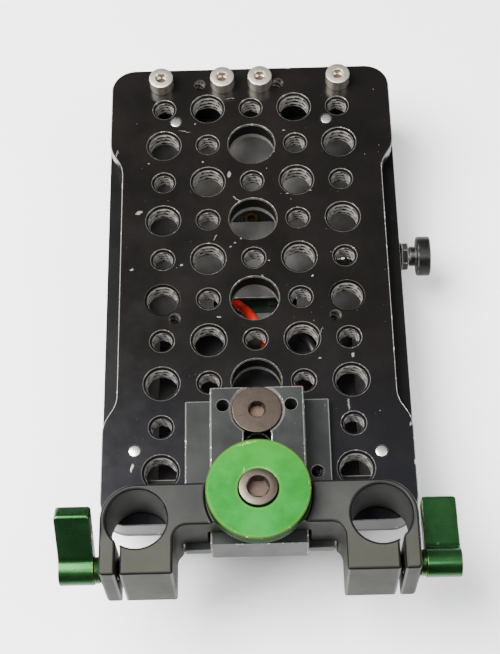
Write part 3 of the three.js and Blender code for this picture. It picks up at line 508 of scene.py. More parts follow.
# x, y, length, width, turn in degrees, strength
plate_marks = (
    (-4.5, 34.9, 2.7, 0.22, -41, 1.0), (-6.4, 19.2, 0.55, 0.45, 0, 0.9), (-5.2, 20.4, 0.5, 0.4, 0, 0.9),
    (-3.5, 21.8, 0.45, 0.4, 0, 0.8), (-6.6, 43.2, 2.4, 0.9, 80, 0.22), (6.2, 50.9, 1.0, 0.4, -20, 1.0),
    (2.4, 9.6, 0.9, 0.4, -40, 1.0), (-9.9, -2.9, 1.1, 0.4, 5, 1.0),
    (9.6, 58.1, 0.6, 0.45, 0, 0.8), (-16.3, 61.0, 0.6, 0.4, 30, 0.9), (-14.1, 47.7, 0.6, 0.35, -30, 0.8),
    (-32.3, 31.0, 2.2, 1.0, 20, 0.25), (-29.8, 47.6, 0.5, 0.4, 0, 0.7), (11.3, 80.5, 1.7, 0.7, 0, 1.0),
    (10.0, 36.3, 0.8, 0.35, 30, 0.8), (16.5, 37.2, 0.7, 0.35, -30, 0.8), (-34.1, 12.5, 1.1, 0.6, 0, 0.3),
    (-20.2, 13.6, 1.0, 0.6, 30, 0.3), (-10.8, 22.3, 2.2, 0.16, 65, 0.5), (26.1, -15.4, 1.5, 0.8, 80, 0.28),
    (24.3, -29.9, 3.6, 0.5, 92, 0.14), (17.2, -16.1, 0.7, 0.55, 0, 0.4), (4.2, 14.5, 0.5, 0.4, 0, 0.6),
    (16.2, 9.3, 0.6, 0.5, 0, 0.5), (-39.0, 51.4, 2.2, 0.4, 78, 1.0), (-37.3, 40.3, 2.4, 0.3, 90, 1.0),
    (37.35, 45.0, 1.8, 0.3, 90, 1.0), (37.3, 28.3, 3.0, 0.3, 90, 1.0), (37.3, -4.5, 1.4, 0.3, 90, 1.0),
    (37.3, -13.6, 1.2, 0.3, 90, 1.0), (-32.9, -46.6, 2.4, 0.7, 78, 0.6), (40.3, -36.0, 1.0, 0.5, 80, 1.0),
    (40.8, -46.7, 1.6, 0.5, 90, 1.0), (-19.5, 58.5, 3.6, 0.12, -12, 0.35),
    (17.5, -8.5, 4.2, 0.11, 64, 0.3), (-6.0, 69.8, 3.0, 0.12, 5, 0.3),
)
# The plate's tints are painted light: bluish and lighter towards the front as a painted reflection, and
# darker towards the right as painted shade.
plate_black = anodised("plate_black", "0b0a09", "12100f", 0.2, 0.15, 0.25, 0.5, grain=0.0012, specks=0.3,
                       marks=plate_marks, tints=((-5.0, -60.0, 1, "121318", 0.7), (8, 40, 0, "080707", 0.3)),
                       specular=0.2, bore_shade_and_glint=0.22)
housing_black = anodised("housing_black", "070707", "0b0a0a", 0.36, 0.2, 0.15, 0.3, specks=0.1, specular=0.15)
# The clamp's rounded edges take a near-black line: painted shade.
clamp_grey = anodised("clamp_grey", "2a2b2a", "363634", 0.42, 0.05, 0.6, 0.0, grain=0.005, specks=0.06,
                      tints=((-66.0, -80.0, 1, "34342b", 0.5),), spread=18.0, specular=0.03,
                      wear_and_shade=rgb("0f0e0e"))
# The rail's slot and channel are darkened through its bore value: painted shade.
rail_grey = anodised("rail_grey", "1c1e1d", "282a29", 0.34, 0.1, 0.1, 0.4, grain=0.004, specks=0.15,
                     spread=9.0, brushed=(1, 0.12, 1), specular=0.12, bore_shade_and_glint=0.2)
knob_marks = (
    (-2.6, -49.6, 5.2, 0.35, 14, 0.7), (-2.4, -49.3, 0.9, 0.5, 10, 1.0), (-3.4, -56.7, 1.9, 0.35, 90, 0.7),
)
# The knob's rim colour is painted shade on its outer edge and side wall.
knob_green = anodised("knob_green", "165a1c", "236e2c", 0.42, 0.08, 0.12, 0.25, grain=0.005, specks=0.06,
                      spread=8.0, wear_and_shade=rgb("7f9a4a"), marks=knob_marks, marked_z=KNOB_Z[1], specular=0.01,
                      tints=((-62.0, -49.0, 1, "2f6a12", 0.3),),
                      rim=((0, LOCK_Y, 0), KNOB_R - 0.8, KNOB_R - 0.2, "06300a"))
lever_marks = ((43.9, -71.9, 0.9, 0.7, 0, 1.0),)
lever_green = anodised("lever_green", "1b3f20", "274c29", 0.26, 0.85, 0.2, 0.3, grain=0.004, specks=0.05,
                       spread=7.0, wear_and_shade=rgb("8a8f52"), marks=lever_marks, marked_z=38.9, specular=0.3)
steel = polished("steel", "a39c8d", "e6dfd0", 0.34, size=0.12)
socket_brown = moulded("socket_brown", "1d120a", "432a14", 0.6, grain=0.02, size=0.4)
bolt_steel = polished("bolt_steel", "2d2826", "463e38", 0.36, centre=(0, BOLT_Y, 0), size=0.22)
screw_steel = polished("screw_steel", "332d29", "524a43", 0.36, centre=(0, LOCK_Y, 0), size=0.18)
pin_steel = polished("pin_steel", "b9b7b0", "f2f1ec", 0.22, size=0.1, grime=0.15)
latch_steel = polished("latch_steel", "77746e", "c0bdb6", 0.3, centre=(0, LATCH_Y, LATCH_Z), axis="x")
thread_steel = polished("thread_steel", "1c1b1a", "3a3836", 0.4, size=0.2)
brass = polished("brass", "7d5f2c", "cfa659", 0.3, size=0.12)
dull_brass = polished("dull_brass", "2a1c0a", "5c421c", 0.45, size=0.12)
plastic_black = moulded("plastic_black", "080808", "0d0d0d", 0.5, grain=0.02, size=0.3, scuffs=0.05,
                        specular=0.25)
knob_black = moulded("knob_black", "090909", "0f0f0e", 0.33, grain=0.008, size=0.25, scuffs=0.3,
                     specular=0.25)
board_green = moulded("board_green", "081409", "0c2211", 0.38, grain=0.008, size=0.8)
lead_red = moulded("lead_red", "96130c", "b02418", 0.3, grain=0.006, size=1.2)
lead_black = moulded("lead_black", "101011", "1c1c1e", 0.33, grain=0.006, size=1.2)
chip_black = moulded("chip_black", "090a0a", "0e0f0f", 0.45, grain=0.01, size=0.2, scuffs=0.1)
solder = polished("solder", "8d8f90", "d9dcdc", 0.25, size=0.3, grime=0.2)
floor_grey = anodised("floor_grey", "646462", "757472", 0.34, 0.55, 0.7, 0.7, grain=0.004, specks=0.05,
                      spread=5.0, brushed=(1, 0.05, 1), wear_and_shade=rgb("c9c8c4"))


# ---- Cheese plate ------------------------------------------------
def row_y(row):
    return ROW_5_Y - PITCH * (row - 5)


def hole_kind(column, row):
    odd = abs(column) == 1
    if row % 2:
        return "large" if odd else "small"
    return "passage" if column == 0 else "small" if odd else "large"


def bezier(a, b, c, d, steps):
    made = []
    for i in range(steps + 1):
        t = i / steps
        k = ((1 - t) ** 3, 3 * t * (1 - t) ** 2, 3 * t * t * (1 - t), t ** 3)
        made.append(tuple(sum(w * p[j] for w, p in zip(k, (a, b, c, d))) for j in (0, 1)))
    return made


def plate_outline():
    middle, bend = sum(PLATE_Y) / 2, (WAIST_STRAIGHT + WAIST_FULL) / 2
    w, n, r = PLATE_HALF, PLATE_WAIST, PLATE_CORNER
    right = arc(w - r, PLATE_Y[0] + r, r, -90, 0, 12)
    for way in (-1, 1):
        full, straight = middle + way * WAIST_FULL, middle + way * WAIST_STRAIGHT
        curve = bezier((w, full), (w, middle + way * bend), (n, middle + way * bend), (n, straight), 14)
        right += curve if way < 0 else curve[::-1]
    right += arc(w - r, PLATE_Y[1] - r, r, 0, 90, 12)
    return right + [(-x, y) for x, y in reversed(right)]


def inset(loop, by):
    """A loop moved inwards, by its corners' own directions."""
    made = []
    for i, (x, y) in enumerate(loop):
        before, after = Vector(loop[i - 1]), Vector(loop[(i + 1) % len(loop)])
        along = (after - before).normalized()
        made.append((x - along.y * by, y + along.x * by))
    return made


# radii of the crest, the root, the rim and the chamfer's foot, thread pitch, sides and rows
THREADS = {
    "small": (2.5, 3.08, 3.4, 2.8, 1.27, 36, 34), "large": (3.98, 4.7, 4.98, 4.36, 1.5875, 48, 32),
    "passage": (6.66, 6.66, 6.86, 6.68, 8, 72, 4), "fine": (1.4, 1.66, 1.8, 1.6, 0.7, 20, 27),
    "relief": (1.5, 1.6, 1.7, 1.6, 0.7, 20, 27),
}


def plate_holes():
    holes = []
    for row in range(FIRST_ROW, LAST_ROW + 1):
        for column in range(-2, 3):
            if (column, row) != (0, LAST_ROW):
                holes.append((column * PITCH, row_y(row), hole_kind(column, row)))
    holes += [(x, SCREW_ROW_Y, "fine") for x in sorted(SCREW_X + EMPTY_X)]
    holes += [(side * RELIEF_X, RELIEF_Y, "relief") for side in SIDES]
    holes += [(x, y, "fine") for x, y in UPPER_PINS + LOWER_PINS]
    return holes


class PlateMesh:
    """The plate's mesh: its wall, the mouths and threads of its holes, and its two faces."""

    def __init__(self):
        self.bm = bmesh.new()
        self.edge, self.bore = (self.bm.faces.layers.float.new(key) for key in ("edge", "bore"))
        self.owner = {}
        self.tops, self.bottoms = [], []

    def ring(self, points, z, owner=0):
        made = [self.bm.verts.new((x, y, z)) for x, y in points]
        self.owner.update((v, owner) for v in made)
        return made

    def strip(self, a, b, edge):
        made = []
        for i in range(len(a)):
            j = (i + 1) % len(a)
            made.append(self.bm.faces.new((a[i], a[j], b[j], b[i])))
            made[-1][self.edge] = edge
        return made

    def outer_wall(self):
        (z0, z1), chamfer = PLATE_Z, 0.22
        wall = plate_outline()
        face = inset(wall, chamfer)
        loops = [self.ring(face, z1), self.ring(wall, z1 - chamfer), self.ring(wall, z0 + chamfer),
                 self.ring(face, z0)]
        for a, b, edge in zip(loops, loops[1:], (1.0, 0.0, 1.0)):
            self.strip(a, b, edge)
        self.tops.append(loops[0])
        self.bottoms.append(loops[-1])

    def mouth(self, owner, x, y, kind):
        """A hole's chamfer, as its last ring and that ring's height."""
        rim, foot, sides = THREADS[kind][2], THREADS[kind][3], THREADS[kind][5]
        crowded = kind in ("fine", "relief") or abs(y - row_y(6)) < 0.1 and abs(x) > 20
        lip = 0.0 if crowded else 0.12
        depth = rim - 0.06 - foot
        steps = [(rim + lip, 0.0, 0.0), (rim - 0.06, 0.12, 0.4), (foot, 0.12 + depth, 0.0),
                 (foot - 0.08, 0.26 + depth, 0.8 if kind == "large" else 0.4)]
        rings = []
        for r, down, edge in steps:
            rings.append(self.ring(circle(x, y, r, sides), PLATE_Z[1] - down, owner))
            if len(rings) > 1:
                self.strip(*rings[-2:], edge)
        self.tops.append(rings[0])
        return rings[-1], PLATE_Z[1] - steps[-1][1]

    def hole(self, owner, x, y, kind):
        """A mouth, then a threaded or plain wall down to a sharp rim."""
        crest, root, rim, foot, pitch, sides, rows = THREADS[kind]
        plain, z0 = kind == "passage", PLATE_Z[0]
        before, start = self.mouth(owner, x, y, kind)
        for k in range(1, rows):
            z = start + (z0 + 0.3 - start) * k / rows
            here = []
            for i in range(sides):
                phase = ((z - z0) / pitch + i / sides) % 1.0
                r = crest + (root - crest) * min(1.0, 2.6 * abs(phase - 0.5))
                r = max(min(r, foot - 0.08 + (start - z)), 0 if plain else rim - (z - z0))
                a = 2 * math.pi * i / sides
                here.append(self.bm.verts.new((x + r * math.cos(a), y + r * math.sin(a), z)))
            # The bore value is 0.5 on the wall, for painted shade, and 1.0 on the thread flanks that face up,
            # for a pale line that is partly wear and partly painted highlight.
            for i, wall in enumerate(self.strip(before, here, 0.0)):
                phase = ((z - z0) / pitch + (i + 0.5) / sides) % 1.0
                wall[self.bore] = 1.0 if not plain and 0.5 < phase < 0.74 else 0.5
            before = here
        bottom = self.ring(circle(x, y, crest if plain else rim, sides), z0, owner)
        self.strip(before, bottom, 1.0)
        self.bottoms.append(bottom)

    def face(self, loops):
        """The flat face between the outline and the holes."""
        verts = [v for loop in loops for v in loop]
        start, edges = 0, []
        for loop in loops:
            n = len(loop)
            edges += [(start + i, start + (i + 1) % n) for i in range(n)]
            start += n
        flat = delaunay_2d_cdt([Vector((v.co.x, v.co.y)) for v in verts], edges, [], 1, 1e-5)
        for corners in flat[2]:
            back = [verts[flat[3][c][0]] for c in corners]
            owners = {self.owner[v] for v in back}
            if len(owners) > 1 or 0 in owners:  # a face with a single hole's corners is inside it
                self.bm.faces.new(back)


def cheese_plate():
    mesh = PlateMesh()
    mesh.outer_wall()
    for owner, (x, y, kind) in enumerate(plate_holes(), 1):
        mesh.hole(owner, x, y, kind)
    mesh.face(mesh.tops)
    mesh.face(mesh.bottoms)
    piece(thing("plate", mesh.bm), "plate_with_threads", ["cheese_plate"], plate_black, weighted=False,
          sharp=math.radians(22))


# ---- Screws and pins ---------------------------------------------
def copies(ob, places, flip=False):
    """The same shape at each place, with its mesh moved so that its pattern differs."""
    made = []
    for at in places:
        twin = placed(ob.name, ob.data.copy())
        if flip:
            twin.data.transform(Matrix.Rotation(math.pi, 4, "X"))
        twin.data.transform(Matrix.Translation(at))
        made.append(twin)
    bpy.data.objects.remove(ob)
    return made


def cap_screw(r, length, head_r, head_height, hexa, depth, teeth):
    """Socket head screw along z, head up from z = 0, its thread below."""
    crest = [(r - 0.18 * (k % 2), -length + 0.35 * k) for k in range(1, int((length - 2) / 0.35))]
    profile = [(0, -length), (r - 0.4, -length), *crest, (r, -1.2), (r, 0), (head_r, 0),
               (head_r, head_height), (0, head_height)]
    head = lathe(profile, 2 * teeth or 72, soft=0.22, ridges=(head_r, 0.11) if teeth else None)
    sink = cone(0, 0, (hexa * 0.5, head_height - 0.3), (hexa * 0.5 + 0.45, head_height + 0.15), 36)
    return carve(head, hexagon(0, 0, hexa, (head_height - depth, head_height + 1)), sink)


def flat_screw():
    """Countersunk screw along z, its face at z = 0 and its thread above."""
    crest = [(1.5 - 0.15 * (k % 2), 1.9 + 0.3 * k) for k in range(22)]
    body = lathe([(0, 0), (2.9, 0), (2.9, 0.3), (1.5, 1.7), *crest, (1.2, 9), (0, 9)], 40, soft=0.12)
    return carve(body, hexagon(0, 0, 2, (-1, 1.2)))


def fasteners():
    tops = [(x, SCREW_ROW_Y, PLATE_Z[1]) for x in SCREW_X]
    for i, ob in enumerate(copies(cap_screw(2, 12, 3.5, 4, 3, 2.2, 0), tops), 1):
        piece(ob, f"top_cap_screw_{i}", [f"top_screw_{i}"], steel)
    for i, at in enumerate(tops, 1):
        dirt = lathe([(0, 0), (1.5, 0), (1.5, 0.12), (0, 0.2)], 6, (at[0], at[1], at[2] + 1.8), soft=0)
        piece(dirt, f"top_socket_dirt_{i}", [], socket_brown)
    for i, (x, y) in enumerate(UPPER_PINS + LOWER_PINS, 1):
        z0, z1 = PLATE_Z[0] + 0.15, PLATE_Z[1]
        pin = lathe([(0, z0), (1.5, z0), (1.5, z1), (0, z1)], 40, (x, y, 0), soft=0.25)
        piece(pin, f"dowel_{i}", [f"dowel_pin_{i}"], pin_steel)
    walls = [(side * WALL_SCREW_X, y, LIP_Z) for side in SIDES for y in WALL_SCREW_Y]
    caps = [(side * CAP_SCREW_X, CAP_SCREW_Y, LIP_Z) for side in SIDES]
    m3 = copies(cap_screw(1.5, 7, 2.7, 2.8, 2.5, 1.4, 32), walls + caps, flip=True)
    names = [f"wall_screw_{i}" for i in range(1, 5)] + ["cap_screw_1", "cap_screw_2"]
    for name, ob in zip(names, m3):
        piece(ob, name + "_steel", [name], steel)
    cases = [(side * CASE_SCREW_X, y, 0) for y in CASE_SCREW_Y for side in SIDES]
    for i, ob in enumerate(copies(flat_screw(), cases), 1):
        piece(ob, f"case_screw_{i}_steel", [f"case_screw_{i}"], steel)


# ---- Housing -----------------------------------------------------
def side_wall(side):
    a, b, c = (side * v for v in (HOUSING_HALF, HOUSING_HALF - 3, 30.4))
    low, top = HOUSING_Z
    section = [(a, low), (a, top), (c, top), (c, LIP_Z), (b, LIP_Z), (b, low)]
    wall = prism(section, (WEB_Y, TOP_CAP_Y), "y")
    tools = [drill(side * WALL_SCREW_X, y, M3_BORE, (LIP_Z - 1, 25)) for y in WALL_SCREW_Y]
    if side > 0:
        tools.append(drill(LATCH_Y, LATCH_Z, 4.3, (37, 43), "x"))
    soften(carve(wall, *tools), 0.35)
    name = "side_wall_right" if side > 0 else "side_wall_left"
    piece(wall, name + "_shell", [name], housing_black)


def end_caps():
    top = prism(rounded(HOUSING_HALF, TOP_CAP_Y, HOUSING_Y[1], HOUSING_CORNER, 0), HOUSING_Z)
    tools = [drill(x, SCREW_ROW_Y, 2.2, (17, 25), sides=24) for x in SCREW_X]
    tools += [block((x - 7.3, x + 7.3), (60, 90), (7.2, 16.8)) for x in OUTLET_X.values()]
    tools += [drill(side * CASE_SCREW_X, CASE_SCREW_Y[0], M3_BORE, (0, 10), sides=24) for side in SIDES]
    soften(carve(top, *tools), 0.4)
    piece(top, "top_end_cap_shell", ["top_end_cap"], housing_black)
    lip = prism(rounded(HOUSING_HALF, PLATE_Y[0], HOUSING_Y[0] + 1, 0, HOUSING_CORNER), (LIP_Z, HOUSING_Z[1]))
    web = block((-HOUSING_HALF, HOUSING_HALF), (HOUSING_Y[0], WEB_Y), HOUSING_Z)
    tools = [drill(side * CAP_SCREW_X, CAP_SCREW_Y, M3_BORE, (20, 25), sides=24) for side in SIDES]
    tools += [drill(side * CASE_SCREW_X, CASE_SCREW_Y[1], M3_BORE, (0, 10), sides=24) for side in SIDES]
    soften(carve(join(lip, web), *tools), 0.35)
    piece(lip, "bottom_end_cap_shell", ["bottom_end_cap"], housing_black)


def pocket(by):
    half = [(20, 58), (20, 40), (16 - by, 38), (12 - by, -2 + by)]
    return half + [(-x, y) for x, y in reversed(half)]


def battery_plate():
    body = prism(rounded(HOUSING_HALF, *HOUSING_Y, HOUSING_CORNER, 2), (0, 6))
    tools = [prism(pocket(0), (1.6, 4.6)), prism(pocket(2), (-5, 1.7)),
             block((-22, 22), (-40, -16), (-5, 11)), block((11.2, 28.3), CATCH_Y, (1.7, 11)),
             drill(INSERT_X, INSERT_Y, 2.1, (5.4, 11))]
    for x in (-CASE_SCREW_X, CASE_SCREW_X):
        for y in CASE_SCREW_Y:
            tools += [drill(x, y, 1.8, (1, 11)), cone(x, y, (3.2, -1), (1.6, 2.2))]
    tools += [block((x - 0.6, x + 0.6), (62, 72), (-1, 0.35)) for x in (-30, -27.5, -25, 25, 27.5, 30)]
    soften(carve(body, *tools), 0.3)
    piece(body, "battery_plate_shell", ["battery_plate"], plastic_black)


def contact_block():
    body = join(block((-27, 27), (-46, -1), (6, 17)), block((-21.7, 21.7), (-39.7, -16.3), (5, 7)))
    tools = [block((x - 0.7, x + 0.7), (-31.8, -24.2), (0, 9.5)) for x in BLADE_X]
    tools += [drill(x, LEAD_SOCKET_Y, 2.85, (11, 20)) for x in LEAD_SOCKET_X]
    soften(carve(body, *tools), 0.35)
    piece(body, "contact_block_moulding", ["contact_block"], plastic_black)
    for i, x in enumerate(BLADE_X, 1):
        tip = [(-31.5, 9), (-31.5, 1.6), (-30.7, 0.8), (-25.3, 0.8), (-24.5, 1.6), (-24.5, 9)]
        blade = soften(prism(tip, (x - 0.4, x + 0.4), "x"), 0.15)
        piece(blade, f"blade_{i}", [f"contact_blade_{i}"], brass)


def inner_floor():
    sheet = prism(rounded(36, -46, 71, 2, 2, 6), (11, 12))
    carve(sheet, block((-27.3, 27.3), (-60, -0.5), (10, 13)))
    carve(sheet, prism(rounded(7.5, 38, 47, 1.2, 1.2, 6), (10, 13)),
          prism(rounded(12, 7.4, 12.5, 1, 1, 6), (10, 13)), block((19.7, 28.3), CATCH_Y, (10, 13)))
    piece(soften(sheet, 0.14), "floor_sheet", ["inner_floor"], floor_grey)


# ---- Wiring and board --------------------------------------------
# both leads climb off the board by the same y and z, each with its own x, and so do the outlets' two
CLIMB = ((24, 8.75), (18, 8.75), (13.4, 8.9), (10.2, 11.2), (7.4, 14.4), (3, 17.6), (-3, 19.3))
RUN = ((28, 8.6), (38, 8.6), (50, 8.6), (60, 8.7), (66.8, 8.9), (70.6, 9.4))


def route(xs, shared, rest=()):
    return [(x, *place) for x, place in zip(xs, shared)] + list(rest)


RED_ROUTE = route((-8.2, -7.4, -6, -4.4, -2.9, -0.9, 1.7), CLIMB, (
    (3.5, -9, 19.7), (8.5, -17, 19.9), (12.5, -22.5, 19.7), (13.9, -25.9, 18.6), (14, -27.4, 16.4),
    (14, -27.5, 12.8)))
BLACK_ROUTE = route((9.6, 9.2, 8.8, 8.4, 8.8, 10.4, 13.4), CLIMB, (
    (17.4, -12.5, 19.9), (20.2, -20.6, 20), (20.9, -25.6, 19), (21, -27.4, 16.6), (21, -27.5, 12.8)))
OUT_RED_ROUTE = route((-9.5, -11, -13.5, -16, -17, -17.2), RUN)
OUT_BLACK_ROUTE = route((9.5, 10.5, 12, 13.6, 14.2, 14.4), RUN)


def smooth_path(points, steps):
    """A Catmull-Rom curve through the points."""
    p = [Vector(q) for q in points]
    p = [2 * p[0] - p[1], *p, 2 * p[-1] - p[-2]]
    made = []
    for a, b, c, d in zip(p, p[1:], p[2:], p[3:]):
        for i in range(steps):
            t = i / steps
            made.append(0.5 * (2 * b + (c - a) * t + (2 * a - 5 * b + 4 * c - d) * t * t
                               + (3 * b - a - 3 * c + d) * t ** 3))
    return made + [p[-2]]


def swept(path, r, sides=18, ends=0.3):
    """A round tube along a path, its ends closed with a small round."""
    bm = bmesh.new()
    up = Vector((0, 0, 1)) if abs((path[1] - path[0]).normalized().z) < 0.9 else Vector((1, 0, 0))
    rings = []
    spots = [(0, r - ends), *((i, r) for i in range(len(path))), (len(path) - 1, r - ends)]
    for order, (i, radius) in enumerate(spots):
        along = (path[min(i + 1, len(path) - 1)] - path[max(i - 1, 0)]).normalized()
        side = along.cross(up).normalized()
        up = side.cross(along).normalized()
        centre = path[i]
        if order == 1:
            centre = path[i] + along * ends
        elif order == len(spots) - 2:
            centre = path[i] - along * ends
        rings.append([bm.verts.new(centre + (side * math.cos(a) + up * math.sin(a)) * radius)
                      for a in (2 * math.pi * k / sides for k in range(sides))])
    for low, high in zip(rings, rings[1:]):
        for i in range(sides):
            j = (i + 1) % sides
            bm.faces.new((low[i], low[j], high[j], high[i]))
    bm.faces.new(rings[0][::-1])
    bm.faces.new(rings[-1])
    return thing("tube", bm)


def wiring():
    for path, r, name, finish in (
            (RED_ROUTE, 1.35, "red_lead", lead_red), (BLACK_ROUTE, 1.35, "black_lead", lead_black),
            (OUT_RED_ROUTE, 1.1, "outlet_lead_red", lead_red),
            (OUT_BLACK_ROUTE, 1.1, "outlet_lead_black", lead_black)):
        tube = swept(smooth_path(path, 8), r)
        piece(tube, name + "_wire", [name], finish, weighted=False)


def board():
    sheet = soften(prism(rounded(15, 3, 32, 1.5, 1.5, 5), (6, BOARD_TOP)), 0.1)
    piece(sheet, "board_sheet", ["pcb"], board_green)
    chips = [((-3, 3), (19, 25), 9.0), ((-12.5, -9.8), (5, 9.6), 8.3), ((3.6, 6.4), (12, 17), 8.6),
             ((-1.6, 1.6), (27.5, 30.5), 8.5), ((-4, -1.4), (14, 16.4), 8.0)]
    parts = [soften(block(x, y, (BOARD_TOP, z)), 0.2) for x, y, z in chips]
    parts += [lathe([(0, BOARD_TOP), (1.7, BOARD_TOP), (1.7, 9.8), (0, 9.9)], 24, (x, y, 0)) for x, y in
              ((-12.4, 14.5), (12.4, 7), (12.4, 14))]
    piece(merged(parts), "board_chips", [], chip_black)
    legs = [block((x, x + 0.5), (y, y + 0.9), (BOARD_TOP, 7.5)) for x in (-2.8, -1.6, -0.4, 0.8, 2.0)
            for y in (18.1, 25.0)]
    legs += [lathe([(0, BOARD_TOP), (1.7, BOARD_TOP), (1.1, 7.7), (0, 8.0)], 20, (x, y, 0)) for x, y in
             ((-8.2, 26.2), (9.6, 26.2), (-11.5, 26.5), (12, 26.5))]
    piece(merged(legs), "board_solder", [], solder)
    ring = lathe([(1.2, 5.4), (2, 5.4), (2, 7), (1.2, 7), (1.2, 5.4)], 48, (INSERT_X, INSERT_Y, 0), soft=0.15)
    piece(ring, "terminal_ring", ["terminal_insert"], dull_brass)


def outlets():
    for side, x in OUTLET_X.items():
        body = block((x - 7, x + 7), (71.2, 80.05), (7.5, 16.5))
        pins = [x - 3.2, x + 3.2]
        tools = [drill(p, 12, 1.62, (74, 90), "y") for p in pins]
        tools.append(block((x - 5.9, x + 5.9), (79.45, 90), (8.6, 15.4)))
        soften(carve(body, *tools), 0.22)
        piece(body, f"outlet_{side}_moulding", [f"outlet_{side}"], plastic_black)
        for i, p in enumerate(pins, 1):
            tube = lathe([(0, 74.25), (1.5, 74.25), (1.5, 79.05), (0.9, 79.05), (0.9, 75.1), (0, 75.1)], 32,
                         (p, 0, 12), "y", 0.12)
            piece(tube, f"outlet_{side}_socket_{i}", [f"outlet_contact_{side}_{i}"], brass)


# ---- Release plunger ---------------------------------------------
def plunger():
    at = (0, LATCH_Y, LATCH_Z)
    barrel = lathe([(0, 38.5), (4, 38.5), (4, 42.5), (0, 42.5)], 48, at, "x", 0.1)
    nut = hexagon(LATCH_Y, LATCH_Z, 3.9 * math.sqrt(3), (41.5, 44.4), "x")
    bushing = carve(join(barrel, nut), drill(LATCH_Y, LATCH_Z, SHAFT_BORE, (37, 46), "x"))
    piece(soften(bushing, 0.28), "plunger_bushing", ["latch_bushing"], housing_black)
    shaft = lathe([(0, 20.8), (2, 20.8), (2, 49.2), (0, 49.2)], 40, at, "x", 0.25)
    piece(shaft, "plunger_shaft", ["latch_shaft"], latch_steel, body="latch")
    profile = [(0, 44.7), (2.8, 44.7), (2.8, 46.8), (5.65, 46.8), (5.65, 50.6), (3.4, 50.6), (3.1, 50.3),
               (0, 50.3)]
    knob = lathe(profile, 72, at, "x", 0.45, ridges=(5.65, 0.16))
    carve(knob, drill(LATCH_Y, LATCH_Z, SHAFT_BORE, (44, 49.3), "x"))
    piece(knob, "plunger_knob", ["latch_knob"], knob_black, body="latch")


def catch():
    width = (LATCH_Y - 3.7, LATCH_Y + 3.7)
    arm = block((20, 23.5), width, (2, 19))
    tooth = prism([(11.5, 2.8), (12.3, 2), (21, 2), (21, 4.2), (11.5, 4.2)], width, "y")
    plate = carve(join(arm, tooth), drill(LATCH_Y, LATCH_Z, SHAFT_BORE, (20.5, 25), "x"))
    piece(soften(plate, 0.3), "catch_plate", ["latch_catch"], latch_steel, body="latch")


def return_spring():
    turns, wire, r, a_turn = 7.5, 0.36, 2.85, 28
    start, end = 23.6, 38.4
    coil = []
    for i in range(int(turns * a_turn) + 1):
        a = 2 * math.pi * i / a_turn
        x = start + wire + (end - start - 2 * wire) * i / (turns * a_turn)
        coil.append(Vector((x, LATCH_Y + r * math.cos(a), LATCH_Z + r * math.sin(a))))
    spring = piece(swept(coil, wire, 10, 0.1), "return_spring", ["latch_spring"], latch_steel,
                   weighted=False)
    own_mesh(spring)


# ---- Slider rail -------------------------------------------------
def slider_rail():
    wings = block((-WING_HALF, WING_HALF), WING_Y, (PLATE_Z[1], WING_TOP))
    tongue = block((-TONGUE_HALF, TONGUE_HALF), TONGUE_Y, (PLATE_Z[1], RAIL_TOP))
    slot = prism(rounded(SLOT_HALF, *SLOT_Y, 3.4, 0.3, 12), (33, 45))
    channel = block((-CHANNEL_HALF, CHANNEL_HALF), CHANNEL_Y, (25, CHANNEL_TOP))
    body = carve(join(wings, tongue), slot, channel)
    soften(body, 0.38)
    rims = [(0, BOLT_Y, 7.1), (15.27, -49.6, 1.65), (8.8, -34, 1.65), (-8.8, -34, 1.65)]
    tools = [cone(0, BOLT_Y, (3.3, 36.2), (7.2, 40.5), 64), drill(0, BOLT_Y, 3.3, (25, 41)),
             cone(0, BOLT_Y, (6.6, 39.75), (7.35, 40.5), 64)]
    for x, y, r in rims[1:]:
        top = WING_TOP if abs(x) > TONGUE_HALF else RAIL_TOP
        tools += [drill(x, y, r, (29, 42), sides=32), cone(x, y, (r, top - 0.2), (r + 0.3, top + 0.1), 32)]
    carve(body, *tools)
    wear_and_shade = body.data.attributes["edge"].data
    # Faces within the slot and the channel get bore 0.5: painted shade, darkened towards near black.
    inside = body.data.attributes.new("bore", "FLOAT", "FACE").data
    for f in body.data.polygons:
        inside[f.index].value = 0.5 * (abs(f.center.x) < 6 and f.center.z < 39.9 and abs(f.normal.y) < 0.9)
        if 0.1 < f.normal.z < 0.9 and any(abs((f.center.xy - Vector((x, y))).length - r) < 0.6
                                          for x, y, r in rims):
            wear_and_shade[f.index].value = 1.0
    piece(body, "rail_bar", ["slider_rail"], rail_grey)


def rail_bolt():
    profile = [(0, 24.5), (3, 24.5), (3, 36.6), (BOLT_HEAD_R, 39.8), (BOLT_HEAD_R, RAIL_TOP), (0, RAIL_TOP)]
    bolt = lathe(profile, 96, (0, BOLT_Y, 0), soft=0.2)
    tools = [hexagon(0, BOLT_Y, 4, (37.8, 42)), cone(0, BOLT_Y, (2.05, 40.15), (2.4, 40.5), 48)]
    for k in range(8):
        ray = block((3.9, 5.4), (-0.1, 0.1), (40.34, 42))
        turn = Matrix.Rotation(math.pi * (k + 0.5) / 4, 4, "Z")
        ray.data.transform(Matrix.Translation((0, BOLT_Y, 0)) @ turn)
        tools.append(ray)
    carve(bolt, *tools)
    piece(bolt, "rail_bolt_head", ["rail_bolt"], bolt_steel)
    dirt = lathe([(0, 0), (2.2, 0), (2.1, 0.25), (0, 0.3)], 6, (0, BOLT_Y, 37.8), soft=0)
    piece(dirt, "rail_bolt_dirt", [], socket_brown)


